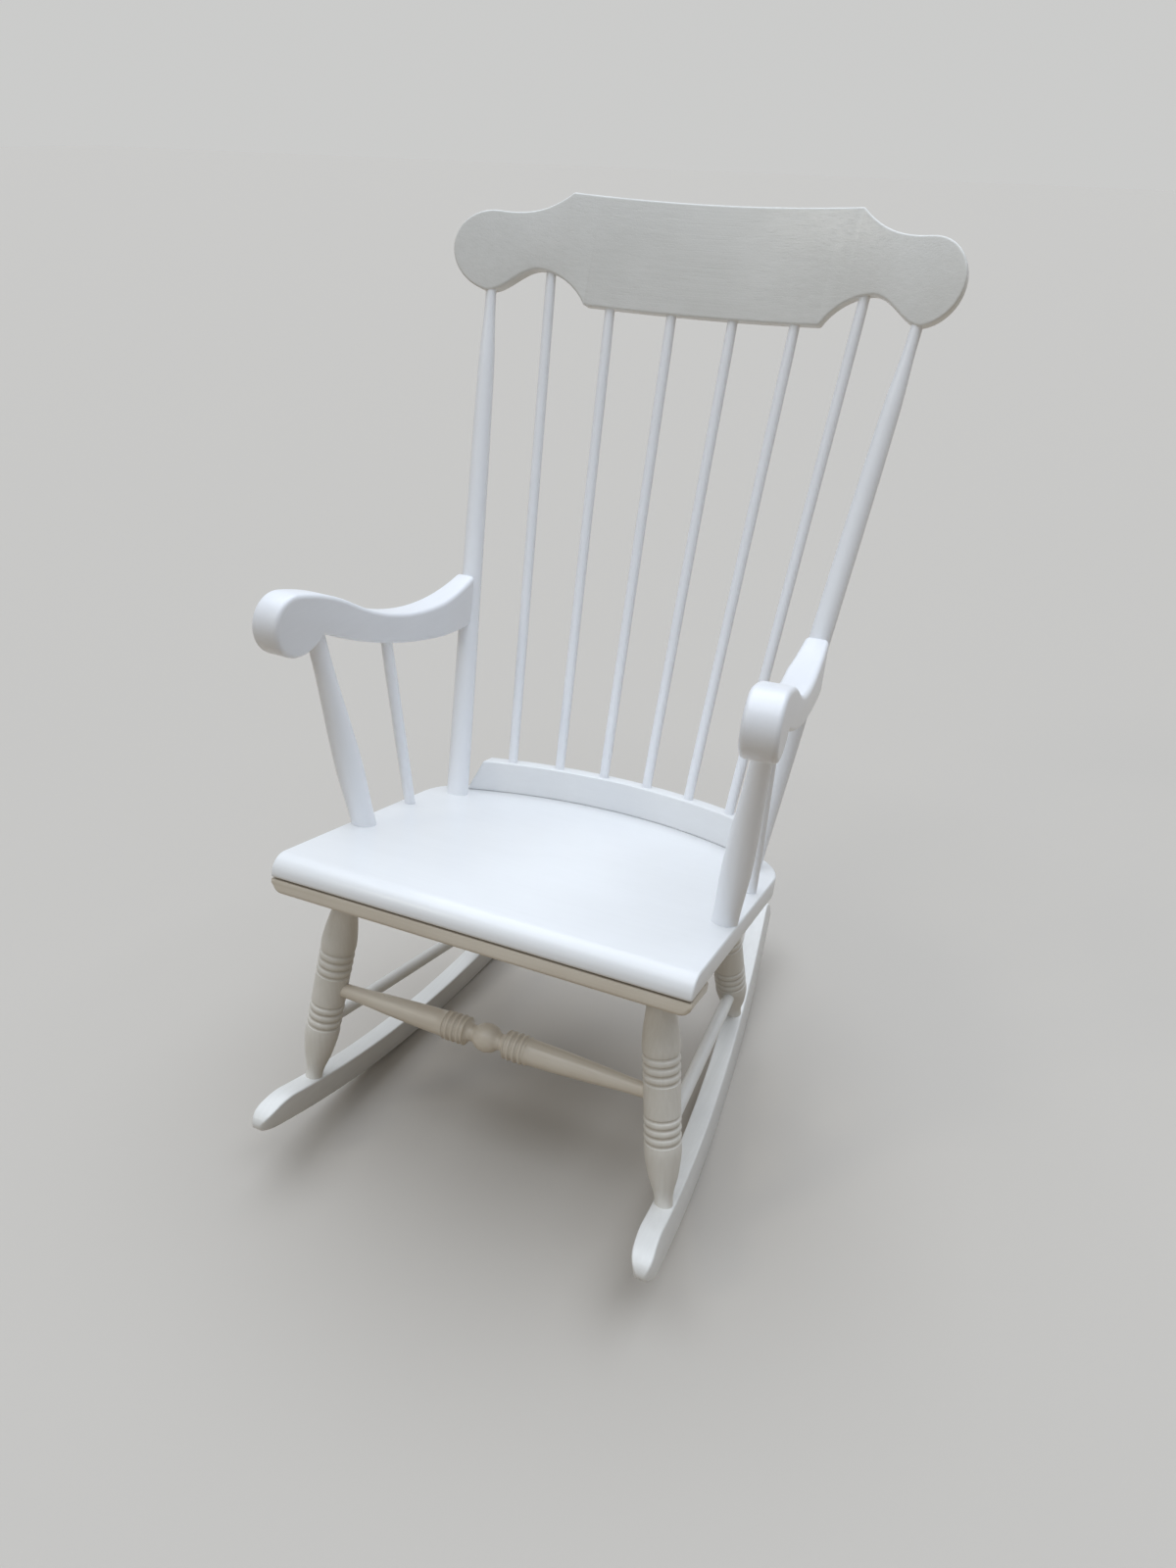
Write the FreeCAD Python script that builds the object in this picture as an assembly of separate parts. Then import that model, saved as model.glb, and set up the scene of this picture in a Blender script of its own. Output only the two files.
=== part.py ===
import FreeCAD, Part
import math
import os
from FreeCAD import Placement, Rotation, Vector

# Fits: every tenon, screw and pin sits in its hole with this radial and end gap
joint_gap = 0.12

# Limits for telling which way an edge runs, in degrees, and whether it passes a point
edge_turn_limit = 2.5
touching = 0.01

# Seat plane: "back" runs along the seat top from its front edge, "up" stands square to it
seat_tilt = 13.85
seat_front_y = -288.8
seat_front_height = 421.2

# Plank seat
seat_width = 522.0
seat_side_taper = 5.0
seat_depth = 480.0
seat_thickness = 27.0
seat_back_radius = 360.0
seat_corner_radius = 95.0
seat_front_round = 22.0
seat_edge_round = 3.0

# Moulded strip under the front edge of the seat
strip_setback = 2.0
strip_depth = 56.0
strip_height = 20.0
strip_end_round = 13.0
strip_edge_round = 5.0
quirk_height = 2.0
quirk_depth = 5.0

# Rockers: bottom arc touches the floor at the origin's Y
rocker_radius = 1050.0
rocker_height = 40.0
rocker_thickness = 26.0
rocker_front_reach = 392.0
rocker_rear_reach = 355.0
rocker_nose_run = 62.0
rocker_nose_round = 7.0
rocker_tail_round = 24.0
rocker_edge_round = 2.5

# Legs: top centres under the seat, from its sides and ends, and how far the feet spread from them
front_leg_top_inset = 62.0
front_leg_top_back = 77.0
rear_leg_top_inset = 82.0
rear_leg_top_from_rear = 113.0
front_foot_splay = 44.9
rear_foot_splay = 24.5
front_foot_y = -283.0
rear_foot_y = 112.7
rocker_cant = 7.3
leg_foot_radius = 10.8
leg_knee_radius = 18.0
leg_body_radius = 22.0
leg_neck_radius = 14.2
leg_neck_straight = 32.0
leg_foot_straight = 6.0
leg_seat_tenon = 20.0
leg_foot_tenon_radius = 8.0
leg_foot_tenon = 24.0

# Scored rings on the legs: two groups, each a row of grooves with rounded beads between
ring_group_spacing = 77.0
ring_pitch = 10.7
ring_count = 4
groove_half_width = 2.4
groove_depth = 2.0
bead_drop = 0.6
ring_zone_margin = 6.0

# Stretchers
stretcher_end_radius = 9.0
stretcher_swell_radius = 15.6
stretcher_taper_radius = 12.7
stretcher_ball_radius = 17.5
stretcher_ball_half_length = 15.0
stretcher_cove_radius = 10.5
stretcher_cove_width = 12.0
stretcher_ring_radius = 18.0
stretcher_ring_pitch = 7.6
stretcher_tenon = 13.0
side_stretcher_radius = 8.7
side_stretcher_on_front_leg = 84.0
side_stretcher_on_rear_leg = 45.0

# Low curved rail on the seat that holds the feet of the back spindles
back_rail_from_rear = 26.0
back_rail_radius = 440.0
back_rail_width = 24.0
back_rail_height = 44.0
back_rail_post_gap = 2.0
back_rail_end_slope = 17.0
back_rail_edge_round = 2.5

# Back posts
post_foot_inset = 45.0
post_foot_from_rear = 119.0
post_splay = 68.4
post_rake = 95.5
post_top_up = 673.0
post_foot_radius = 15.0
post_arm_radius = 13.4
post_shoulder_radius = 11.0
post_top_radius = 7.1
post_taper_length = 100.0
post_seat_tenon = 18.0
post_crest_tenon = 32.0

# Back spindles
spindle_count = 6
spindle_radius = 7.0
spindle_foot_from_rail_end = 50.75
spindle_top_from_cove = 11.5
spindle_rail_tenon = 22.0
spindle_crest_tenon = 24.0

# Crest rail: heights run up its face from its lower edge, insets run inward from the ear centres
crest_behind_rail = 56.0
crest_apex_up = 667.0
crest_lean = 5.0
crest_plan_radius = 800.0
crest_thickness = 20.0
crest_height = 137.5
crest_top_inset = 90.8
crest_bottom_inset = 122.6
crest_ear_from_post = 1.6
crest_ear_centre_up = 52.4
crest_ear_radius = 50.8
crest_shoulder_inset = 56.3
crest_shoulder_up = 113.5
crest_cove_inset = 59.8
crest_cove_up = 37.4
crest_cove_slope = 61.0
crest_ear_sweep = 12.0
crest_top_slope = 45.0
crest_edge_round = 3.0

# Arms: lengths run forward from the rear end of the arm's outer face
arm_outer_from_post = 19.1
arm_rear_from_post = 8.6
arm_toe = 6.1
arm_width = 39.0
arm_crease_run = 73.0
arm_rear_trim = 8.5
scroll_run = 355.0
scroll_up = 264.5
scroll_radius = 36.6
arm_dip_run = 151.0
arm_dip_up = 265.0
arm_end_top_up = 304.0
arm_belly_run = 150.0
arm_belly_up = 226.0
arm_end_bottom_up = 235.0
arm_heel_run = 44.7
arm_heel_rise = 23.9
arm_crotch_round = 4.0
arm_edge_round = 6.0

# Turned arm supports and the plain spindles behind them
support_foot_inset = 18.7
support_foot_back = 164.0
support_top_run = 308.3
support_top_from_outer = 21.1
support_top_below_scroll = 16.5
support_foot_radius = 15.3
support_belly_radius = 17.0
support_belly_above_foot = 91.0
support_top_radius = 11.4
support_tenon = 18.0
arm_spindle_foot_inset = 19.0
arm_spindle_foot_back = 275.0
arm_spindle_top_run = 183.0
arm_spindle_top_from_outer = 28.9
arm_spindle_radius = 7.6
arm_spindle_tenon = 18.0

# Screws, plugs and pins
screw_radius = 2.2
screw_head_radius = 4.4
screw_head_height = 3.0
arm_screw_grip = 34.0
plug_length = 5.0
rail_screw_from_end = 84.0
rail_screw_grip = 18.0
strip_screw_from_end = 72.0
strip_screw_count = 4
strip_screw_grip = 17.0
pin_radius = 3.0
pin_below_rocker_top = 13.0


# Places that follow from the sizes above
seat_half = seat_width / 2
front_leg_top_x = seat_half - front_leg_top_inset
rear_leg_top_x = seat_half - rear_leg_top_inset
rear_leg_top_back = seat_depth - rear_leg_top_from_rear
front_foot_x = front_leg_top_x + front_foot_splay
rear_foot_x = rear_leg_top_x + rear_foot_splay
back_rail_apex = seat_depth - back_rail_from_rear
post_foot_x = seat_half - post_foot_inset
post_foot_back = seat_depth - post_foot_from_rear
post_top_x = post_foot_x + post_splay
post_top_back = post_foot_back + post_rake
back_rail_half_span = post_foot_x - back_rail_post_gap
crest_apex_back = back_rail_apex + crest_behind_rail
crest_ear_centre_x = post_top_x - crest_ear_from_post
crest_shoulder_x = crest_ear_centre_x - crest_shoulder_inset
crest_cove_x = crest_ear_centre_x - crest_cove_inset
crest_top_half = crest_ear_centre_x - crest_top_inset
crest_bottom_half = crest_ear_centre_x - crest_bottom_inset

X_AXIS = Vector(1, 0, 0)
Z_AXIS = Vector(0, 0, 1)
along_limit = math.cos(math.radians(edge_turn_limit))
seat_frame = Placement(Vector(0, seat_front_y, seat_front_height), Rotation(X_AXIS, -seat_tilt))


def on_seat(x, back, up):
    """Point in the chair's frame from a place on, above or below the seat top."""
    return seat_frame.multVec(Vector(x, back, up))


def seated(shape):
    """Move a shape drawn in seat coordinates into the chair's frame."""
    shape.Placement = seat_frame.multiply(shape.Placement)
    return shape


def unit(vector):
    return Vector(vector).normalize()


def line(start, end):
    return Part.LineSegment(start, end).toShape()


def arc(start, middle, end):
    return Part.Arc(start, middle, end).toShape()


def curve(points, start_direction, end_direction):
    """Smooth curve through points that leaves and arrives in the given directions."""
    spline = Part.BSplineCurve()
    spline.interpolate(Points=points, InitialTangent=start_direction, FinalTangent=end_direction)
    return spline.toShape()


def tangent_arc(start, direction, end):
    """Arc from start to end that leaves start along direction."""
    chord = end.sub(start)
    along = unit(direction)
    side = chord.sub(along * chord.dot(along))
    radius = chord.Length ** 2 / (2 * side.Length)
    centre = start + unit(side) * radius
    bow = (start + end) * 0.5 - centre
    return arc(start, centre + unit(bow) * radius, end)


def solid_face(edges):
    return Part.Face(Part.Wire(Part.__sortEdges__(edges)))


def profile_point(distance, radius):
    return Vector(radius, 0, distance)


def turned(foot, top, edges):
    """Solid turned about the line from foot to top, from profile edges listed foot first."""
    first = edges[0].valueAt(edges[0].FirstParameter)
    last = edges[-1].valueAt(edges[-1].LastParameter)
    axis_foot = Vector(0, 0, first.z)
    axis_top = Vector(0, 0, last.z)
    closing = [line(axis_foot, first), line(last, axis_top), line(axis_top, axis_foot)]
    solid = Part.Face(Part.Wire(Part.__sortEdges__(edges + closing))).revolve(Vector(), Z_AXIS, 360)
    solid.Placement = Placement(foot, Rotation(Z_AXIS, top - foot))
    return solid


def swelled(foot, top, foot_tenon, top_tenon, radii):
    """Turned stick with straight tenons and a smooth swell through (distance, radius) places."""
    points = [profile_point(distance, radius) for distance, radius in radii]
    start = points[0]
    end = points[-1]
    length = (top - foot).Length
    edges = [
        line(profile_point(-foot_tenon, start.x), start),
        curve(points, Z_AXIS, Z_AXIS),
        line(end, profile_point(length + top_tenon, end.x)),
    ]
    return turned(foot, top, edges)


def rod(start, end, radius):
    return Part.makeCylinder(radius, (end - start).Length, start, end - start)


def tenoned_rod(foot, top, foot_tenon, top_tenon, radius):
    along = unit(top - foot)
    return rod(foot - along * foot_tenon, top + along * top_tenon, radius)


def socket(mouth, inward, radius, depth):
    """Round hole for a tenon, open past a slanted mouth."""
    into = unit(inward)
    reach = radius + joint_gap
    return rod(mouth - into * reach, mouth + into * (depth + joint_gap), radius + joint_gap)


def ring_edges(first_groove, pitch, count, radius):
    """Profile of a row of grooves with rounded beads between, from edge to edge."""
    edges = []
    lip = radius - bead_drop
    for index in range(count):
        middle = first_groove + index * pitch
        before = profile_point(middle - groove_half_width, lip)
        bottom = profile_point(middle, radius - groove_depth)
        after = profile_point(middle + groove_half_width, lip)
        edges.append(arc(before, bottom, after))
        if index < count - 1:
            crown = profile_point(middle + pitch / 2, radius)
            edges.append(arc(after, crown, profile_point(middle + pitch - groove_half_width, lip)))
    return edges


def end_of(edges):
    return edges[-1].valueAt(edges[-1].LastParameter)


def start_of(edges):
    return edges[0].valueAt(edges[0].FirstParameter)


def mirrored(shape):
    return shape.mirror(Vector(), X_AXIS)


def cut_all(shape, tools):
    return shape.cut(tools) if tools else shape


# Legs and rockers

def rocker_top_z(y):
    top_radius = rocker_radius - rocker_height
    return rocker_radius - math.sqrt(top_radius ** 2 - y ** 2)


front_foot = Vector(front_foot_x, front_foot_y, rocker_top_z(front_foot_y))
rear_foot = Vector(rear_foot_x, rear_foot_y, rocker_top_z(rear_foot_y))
front_leg_top = on_seat(front_leg_top_x, front_leg_top_back, -seat_thickness)
rear_leg_top = on_seat(rear_leg_top_x, rear_leg_top_back, -seat_thickness)


def rocker_normal():
    """Direction across a rocker: it leans with the legs and follows both feet."""
    run = rear_foot - front_foot
    lean = Vector(-math.tan(math.radians(rocker_cant)), 0, 1)
    return unit(lean.cross(run) * -1)


def rocker_sweep():
    """Side profile of the rocker, run wide across the chair."""
    centre = Vector(0, 0, rocker_radius)

    def on_arc(radius, y):
        return Vector(0, y, centre.z - math.sqrt(radius ** 2 - y ** 2))

    top_radius = rocker_radius - rocker_height
    tip = on_arc(rocker_radius, -rocker_front_reach)
    tail = on_arc(rocker_radius, rocker_rear_reach)
    nose_start = on_arc(top_radius, rocker_nose_run - rocker_front_reach)
    tail_top = centre + (tail - centre) * (top_radius / rocker_radius)
    forward = (nose_start - centre).cross(X_AXIS) * -1
    edges = [
        arc(tip, Vector(), tail),
        line(tail, tail_top),
        arc(tail_top, on_arc(top_radius, 0), nose_start),
        tangent_arc(nose_start, forward, tip),
    ]
    wide = 2 * front_foot_x + 2 * rocker_thickness
    sweep = solid_face(edges).extrude(X_AXIS * wide)
    for corner, radius in [(tip, rocker_nose_round), (tail_top, rocker_tail_round),
                           (tail, rocker_nose_round)]:
        rims = [edge for edge in sweep.Edges if is_along_x(edge) and near_point(edge, corner)]
        sweep = sweep.makeFillet(radius, rims)
    return sweep


def is_along_x(edge):
    ends = [vertex.Point for vertex in edge.Vertexes]
    return len(ends) == 2 and abs(unit(ends[1] - ends[0]).x) > along_limit


def near_point(edge, point):
    middle = edge.valueAt((edge.FirstParameter + edge.LastParameter) / 2)
    return math.hypot(middle.y - point.y, middle.z - point.z) < touching


def rocker_blank(sweep):
    """The side profile trimmed to a slab that leans and toes in with the legs."""
    size = 2 * (rocker_front_reach + rocker_rear_reach)
    slab = Part.makeBox(size, size, rocker_thickness)
    slab.translate(Vector(-size / 2, -size / 2, -rocker_thickness / 2))
    slab.Placement = Placement(front_foot, Rotation(Z_AXIS, rocker_normal())).multiply(slab.Placement)
    blank = sweep.common(slab).Solids[0]
    rims = [edge for edge in blank.Edges if not is_along_x(edge)]
    return blank.makeFillet(rocker_edge_round, rims)


def ring_middle(foot, top):
    """Height up the leg of the middle between its ring groups: halfway along the swelled part."""
    return ((top - foot).Length - leg_neck_straight + leg_foot_straight) / 2


def leg(foot, top, sweep):
    length = (top - foot).Length
    rings_above_foot = ring_middle(foot, top)
    half_group = ring_pitch * (ring_count - 1) / 2
    lower = ring_edges(rings_above_foot - ring_group_spacing / 2 - half_group,
                       ring_pitch, ring_count, leg_body_radius)
    upper = ring_edges(rings_above_foot + ring_group_spacing / 2 - half_group,
                       ring_pitch, ring_count, leg_body_radius)
    lower_start = start_of(lower)
    upper_end = end_of(upper)
    body_start = lower_start - Z_AXIS * ring_zone_margin
    body_end = upper_end + Z_AXIS * ring_zone_margin
    foot_start = profile_point(leg_foot_straight, leg_foot_radius)
    knee = profile_point((foot_start.z + body_start.z) / 2, leg_knee_radius)
    neck_end = profile_point(length - leg_neck_straight, leg_neck_radius)
    neck = (body_end + neck_end) * 0.5
    edges = [
        line(profile_point(-leg_foot_tenon, leg_foot_radius), foot_start),
        curve([foot_start, knee, body_start], unit(knee - foot_start), Z_AXIS),
        line(body_start, lower_start),
    ]
    edges += lower
    edges.append(line(end_of(lower), start_of(upper)))
    edges += upper
    edges += [
        line(upper_end, body_end),
        curve([body_end, neck, neck_end], Z_AXIS, Z_AXIS),
        line(neck_end, profile_point(length + leg_seat_tenon, leg_neck_radius)),
    ]
    along = unit(top - foot)
    coped = turned(foot, top, edges).cut(sweep)
    body = max(coped.Solids, key=lambda solid: solid.Volume)
    tenon = rod(foot - along * leg_foot_tenon, foot + along * leg_foot_tenon, leg_foot_tenon_radius)
    return body.fuse(tenon).removeSplitter()


def leg_sockets():
    """Holes that the rocker takes for the leg feet."""
    return [socket(foot, foot - top, leg_foot_tenon_radius, leg_foot_tenon)
            for foot, top in [(front_foot, front_leg_top), (rear_foot, rear_leg_top)]]


def pin_axis(foot, top):
    centre = foot - unit(top - foot) * pin_below_rocker_top
    across = rocker_normal() * (rocker_thickness / 2)
    return centre - across, centre + across


def pin_rod(foot, top, radius, overrun):
    start, end = pin_axis(foot, top)
    along = unit(end - start)
    return rod(start - along * overrun, end + along * overrun, radius)


def up_leg(foot, top, distance):
    return foot + unit(top - foot) * distance


# Stretchers

front_stretcher_end = up_leg(front_foot, front_leg_top, ring_middle(front_foot, front_leg_top))
rear_stretcher_end = up_leg(rear_foot, rear_leg_top, ring_middle(rear_foot, rear_leg_top))
side_front_end = up_leg(front_foot, front_leg_top, side_stretcher_on_front_leg)
side_rear_end = up_leg(rear_foot, rear_leg_top, side_stretcher_on_rear_leg)


def cross_stretcher_ends(end):
    """Tenon ends of a stretcher that runs across the chair, just short of the leg axis."""
    inside = leg_body_radius - stretcher_tenon
    return Vector(inside - end.x, end.y, end.z), Vector(end.x - inside, end.y, end.z)


def front_stretcher():
    """Turned stretcher with a ball between two coves and a ring group on each side."""
    left, right = cross_stretcher_ends(front_stretcher_end)
    half = (right - left).Length / 2
    shoulder = half - stretcher_tenon
    ring_start = stretcher_ball_half_length + stretcher_cove_width
    first_groove = ring_start + groove_half_width + bead_drop
    rings = ring_edges(first_groove, stretcher_ring_pitch, ring_count, stretcher_ring_radius)
    ball_end = profile_point(stretcher_ball_half_length, stretcher_cove_radius + bead_drop)
    cove_end = profile_point(ring_start, stretcher_ring_radius - bead_drop)
    cove = profile_point((ball_end.z + cove_end.z) / 2, stretcher_cove_radius)
    swell = profile_point(end_of(rings).z + ring_zone_margin / 2, stretcher_swell_radius)
    end = profile_point(shoulder, stretcher_end_radius)
    taper = profile_point((swell.z + end.z) / 2, stretcher_taper_radius)
    half_edges = [
        tangent_arc(profile_point(0, stretcher_ball_radius), Z_AXIS, ball_end),
        arc(ball_end, cove, cove_end),
        line(cove_end, start_of(rings)),
    ]
    half_edges += rings
    half_edges += [
        line(end_of(rings), swell),
        curve([swell, taper, end], Z_AXIS, Z_AXIS),
        line(end, profile_point(half, stretcher_end_radius)),
    ]
    middle = Vector(0, right.y, right.z)
    right_half = turned(middle, right, half_edges)
    return right_half.fuse(mirrored(right_half)).removeSplitter()


def rear_stretcher():
    left, right = cross_stretcher_ends(rear_stretcher_end)
    return rod(left, right, side_stretcher_radius)


def side_stretcher():
    along = unit(side_rear_end - side_front_end)
    inside = leg_body_radius - stretcher_tenon
    return rod(side_front_end + along * inside, side_rear_end - along * inside, side_stretcher_radius)


def stretcher_sockets():
    """Holes in the front leg and in the rear leg of the right-hand side."""
    _, front_end = cross_stretcher_ends(front_stretcher_end)
    _, rear_end = cross_stretcher_ends(rear_stretcher_end)
    side = unit(side_rear_end - side_front_end)
    inside = leg_body_radius - stretcher_tenon
    mouth_reach = 2 * leg_body_radius
    front_hole = rod(front_end + X_AXIS * joint_gap, front_end - X_AXIS * mouth_reach,
                     stretcher_end_radius + joint_gap)
    rear_hole = rod(rear_end + X_AXIS * joint_gap, rear_end - X_AXIS * mouth_reach,
                    side_stretcher_radius + joint_gap)
    side_front = side_front_end + side * (inside - joint_gap)
    side_rear = side_rear_end - side * (inside - joint_gap)
    side_hole_radius = side_stretcher_radius + joint_gap
    front_side_hole = rod(side_front, side_front + side * mouth_reach, side_hole_radius)
    rear_side_hole = rod(side_rear, side_rear - side * mouth_reach, side_hole_radius)
    return [front_hole, front_side_hole], [rear_hole, rear_side_hole]


# Seat and the strip under its front edge

def edges_where(shape, test):
    chosen = []
    for edge in shape.Edges:
        middle = edge.valueAt((edge.FirstParameter + edge.LastParameter) / 2)
        if test(edge, middle):
            chosen.append(edge)
    return chosen


def is_upright(edge):
    ends = [vertex.Point for vertex in edge.Vertexes]
    return len(ends) == 2 and abs(unit(ends[1] - ends[0]).z) > along_limit


def seat_blank():
    half = seat_half
    rear_half = half - seat_side_taper
    arc_centre = seat_depth - seat_back_radius
    side_end = arc_centre + math.sqrt(seat_back_radius ** 2 - rear_half ** 2)
    right_front = Vector(half, 0, -seat_thickness)
    left_front = Vector(-half, 0, -seat_thickness)
    right_back = Vector(rear_half, side_end, -seat_thickness)
    left_back = Vector(-rear_half, side_end, -seat_thickness)
    outline = [
        line(left_front, right_front),
        line(right_front, right_back),
        arc(right_back, Vector(0, seat_depth, -seat_thickness), left_back),
        line(left_back, left_front),
    ]
    board = solid_face(outline).extrude(Z_AXIS * seat_thickness)
    corners = edges_where(board, lambda edge, middle: is_upright(edge) and middle.y > side_end / 2)
    board = board.makeFillet(seat_corner_radius, corners)
    front_top = edges_where(board, lambda edge, middle: middle.y < joint_gap and middle.z > -joint_gap)
    board = board.makeFillet(seat_front_round, front_top)
    rims = edges_where(board, lambda edge, middle: middle.y > seat_front_round + joint_gap
                       and abs(middle.z) < joint_gap)
    return board.makeFillet(seat_edge_round, rims)


def strip_blank():
    """Strip with rounded ends and a quirk along its front top edge."""
    half = seat_half
    top = -seat_thickness
    corner = Vector(-half, strip_setback, top - strip_height)
    strip = Part.makeBox(seat_width, strip_depth, strip_height, corner)
    ends = edges_where(strip, lambda edge, middle: abs(middle.x) > half - touching
                       and middle.z < corner.z + touching)
    strip = strip.makeFillet(strip_end_round, ends)
    lower = edges_where(strip, lambda edge, middle: middle.y < strip_setback + touching
                        and middle.z < top - touching and not is_upright(edge))
    strip = strip.makeFillet(strip_edge_round, lower)
    quirk = Part.makeBox(seat_width, quirk_depth, quirk_height,
                         Vector(-half, strip_setback, top - quirk_height))
    return strip.cut(quirk)


# Back: rail, posts, spindles and crest

def rail_back(x, offset):
    """Place along the seat of the rail's centre line, or of a line beside it."""
    radius = back_rail_radius + offset
    return back_rail_apex - back_rail_radius + math.sqrt(radius ** 2 - x ** 2)


def rail_blank():
    """Curved rail with sloped ends."""
    half_width = back_rail_width / 2
    end = back_rail_half_span + half_width

    def bow(offset):
        ends = [Vector(side * end, rail_back(end, offset), 0) for side in (1, -1)]
        return arc(ends[0], Vector(0, rail_back(0, offset), 0), ends[1])

    front = bow(-half_width)
    rear = bow(half_width)
    sides = [line(front.valueAt(front.FirstParameter), rear.valueAt(rear.FirstParameter)),
             line(front.valueAt(front.LastParameter), rear.valueAt(rear.LastParameter))]
    bar = solid_face([front, rear] + sides).extrude(Z_AXIS * back_rail_height)
    slope = [
        Vector(-back_rail_half_span, 0, 0),
        Vector(back_rail_half_span, 0, 0),
        Vector(back_rail_half_span - back_rail_end_slope, 0, back_rail_height),
        Vector(back_rail_end_slope - back_rail_half_span, 0, back_rail_height),
    ]
    trim = Part.Face(Part.makePolygon(slope + slope[:1])).extrude(Vector(0, 2 * seat_depth, 0))
    rail = bar.common(trim).Solids[0]
    rims = edges_where(rail, lambda edge, middle: middle.z > joint_gap)
    return rail.makeFillet(back_rail_edge_round, rims)


post_foot = on_seat(post_foot_x, post_foot_back, 0)
post_top = on_seat(post_top_x, post_top_back, post_top_up)


def post_at(up):
    """Point of the post's axis at a height over the seat, in seat coordinates."""
    share = up / post_top_up
    return Vector(post_foot_x + (post_top_x - post_foot_x) * share,
                  post_foot_back + (post_top_back - post_foot_back) * share, up)


def back_post(gap):
    """Tapered post, made larger by gap all round for the cope it needs in the arm."""
    length = (post_top - post_foot).Length
    radii = [
        (post_foot_radius, post_foot_radius + gap),
        (length / 2, post_arm_radius + gap),
        (length - post_taper_length, post_shoulder_radius + gap),
        (length - post_top_radius, post_top_radius + gap),
    ]
    return swelled(post_foot, post_top, post_seat_tenon, post_crest_tenon, radii)


crest_frame = Placement(Vector(0, crest_apex_back, crest_apex_up), Rotation(X_AXIS, -crest_lean))


def crest_outline():
    """Half outline of the crest's face, from the middle of its lower edge to its top."""
    ear = Vector(crest_ear_centre_x, 0, crest_ear_centre_up)
    r = crest_ear_radius
    top_corner = Vector(crest_top_half, 0, crest_height)
    shoulder = Vector(crest_shoulder_x, 0, crest_shoulder_up)
    ear_top = ear + Vector(0, 0, r)
    ear_side = ear + Vector(r, 0, 0)
    sweep_angle = math.radians(crest_ear_sweep)
    ear_bottom = ear + Vector(math.sin(sweep_angle), 0, -math.cos(sweep_angle)) * r
    onto_ear = Vector(math.cos(sweep_angle), 0, math.sin(sweep_angle))
    cove = Vector(crest_cove_x, 0, crest_cove_up)
    corner = Vector(crest_bottom_half, 0, 0)
    rise = math.radians(crest_cove_slope)
    into_cove = Vector(math.cos(rise), 0, math.sin(rise))
    climb = math.radians(crest_top_slope)
    up_to_top = Vector(-math.cos(climb), 0, math.sin(climb))
    return [
        line(Vector(), corner),
        curve([corner, cove], into_cove, X_AXIS),
        curve([cove, ear_bottom], X_AXIS, onto_ear),
        arc(ear_bottom, ear_side, ear_top),
        curve([ear_top, shoulder, top_corner], X_AXIS * -1, up_to_top),
        line(top_corner, Vector(0, 0, crest_height)),
    ]


def crest_blank():
    """Board bent to a plan curve and sawn to the crest's outline."""
    half_outline = crest_outline()
    outline = half_outline + [mirrored(edge) for edge in half_outline]
    sag = crest_plan_radius
    sawn = solid_face(outline).extrude(Vector(0, 2 * sag, 0))
    sawn.translate(Vector(0, -sag, 0))
    centre = Vector(0, -crest_plan_radius, -crest_height)
    outer = Part.makeCylinder(crest_plan_radius + crest_thickness / 2, 3 * crest_height, centre)
    inner = Part.makeCylinder(crest_plan_radius - crest_thickness / 2, 3 * crest_height, centre)
    pieces = sawn.common(outer.cut(inner)).Solids
    crest = max(pieces, key=lambda solid: solid.BoundBox.YMax)
    crest = crest.makeFillet(crest_edge_round, edges_where(crest, lambda edge, middle: not across(edge)))
    crest.Placement = crest_frame
    return seated(crest)


def across(edge):
    """True for the edges that run straight through the crest's thickness."""
    ends = [vertex.Point for vertex in edge.Vertexes]
    return len(ends) == 2 and abs((ends[1] - ends[0]).y) > crest_thickness / 2


def crest_point(x, up):
    """Point on the crest's middle surface, in seat coordinates."""
    bow = math.sqrt(crest_plan_radius ** 2 - x ** 2) - crest_plan_radius
    return crest_frame.multVec(Vector(x, bow, up))


def spindle_places():
    """Foot and top of each back spindle on the rail and in the crest."""
    places = []
    last_foot = back_rail_half_span - spindle_foot_from_rail_end
    last_top = crest_cove_x - spindle_top_from_cove
    for index in range(spindle_count):
        share = 2 * index / (spindle_count - 1) - 1
        foot_x = share * last_foot
        top_x = share * last_top
        top_up = crest_cove_up if abs(top_x) > crest_bottom_half else 0
        foot = on_seat(foot_x, rail_back(foot_x, 0), back_rail_height)
        top = seat_frame.multVec(crest_point(top_x, top_up))
        places.append((foot, top))
    return places


# Arms

arm_at_post = post_at(arm_dip_up)
arm_rear_outer_x = arm_at_post.x + arm_outer_from_post
arm_rear_back = arm_at_post.y - arm_rear_from_post
arm_frame = Placement(Vector(arm_rear_outer_x, arm_rear_back, 0), Rotation(Z_AXIS, arm_toe))


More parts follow.
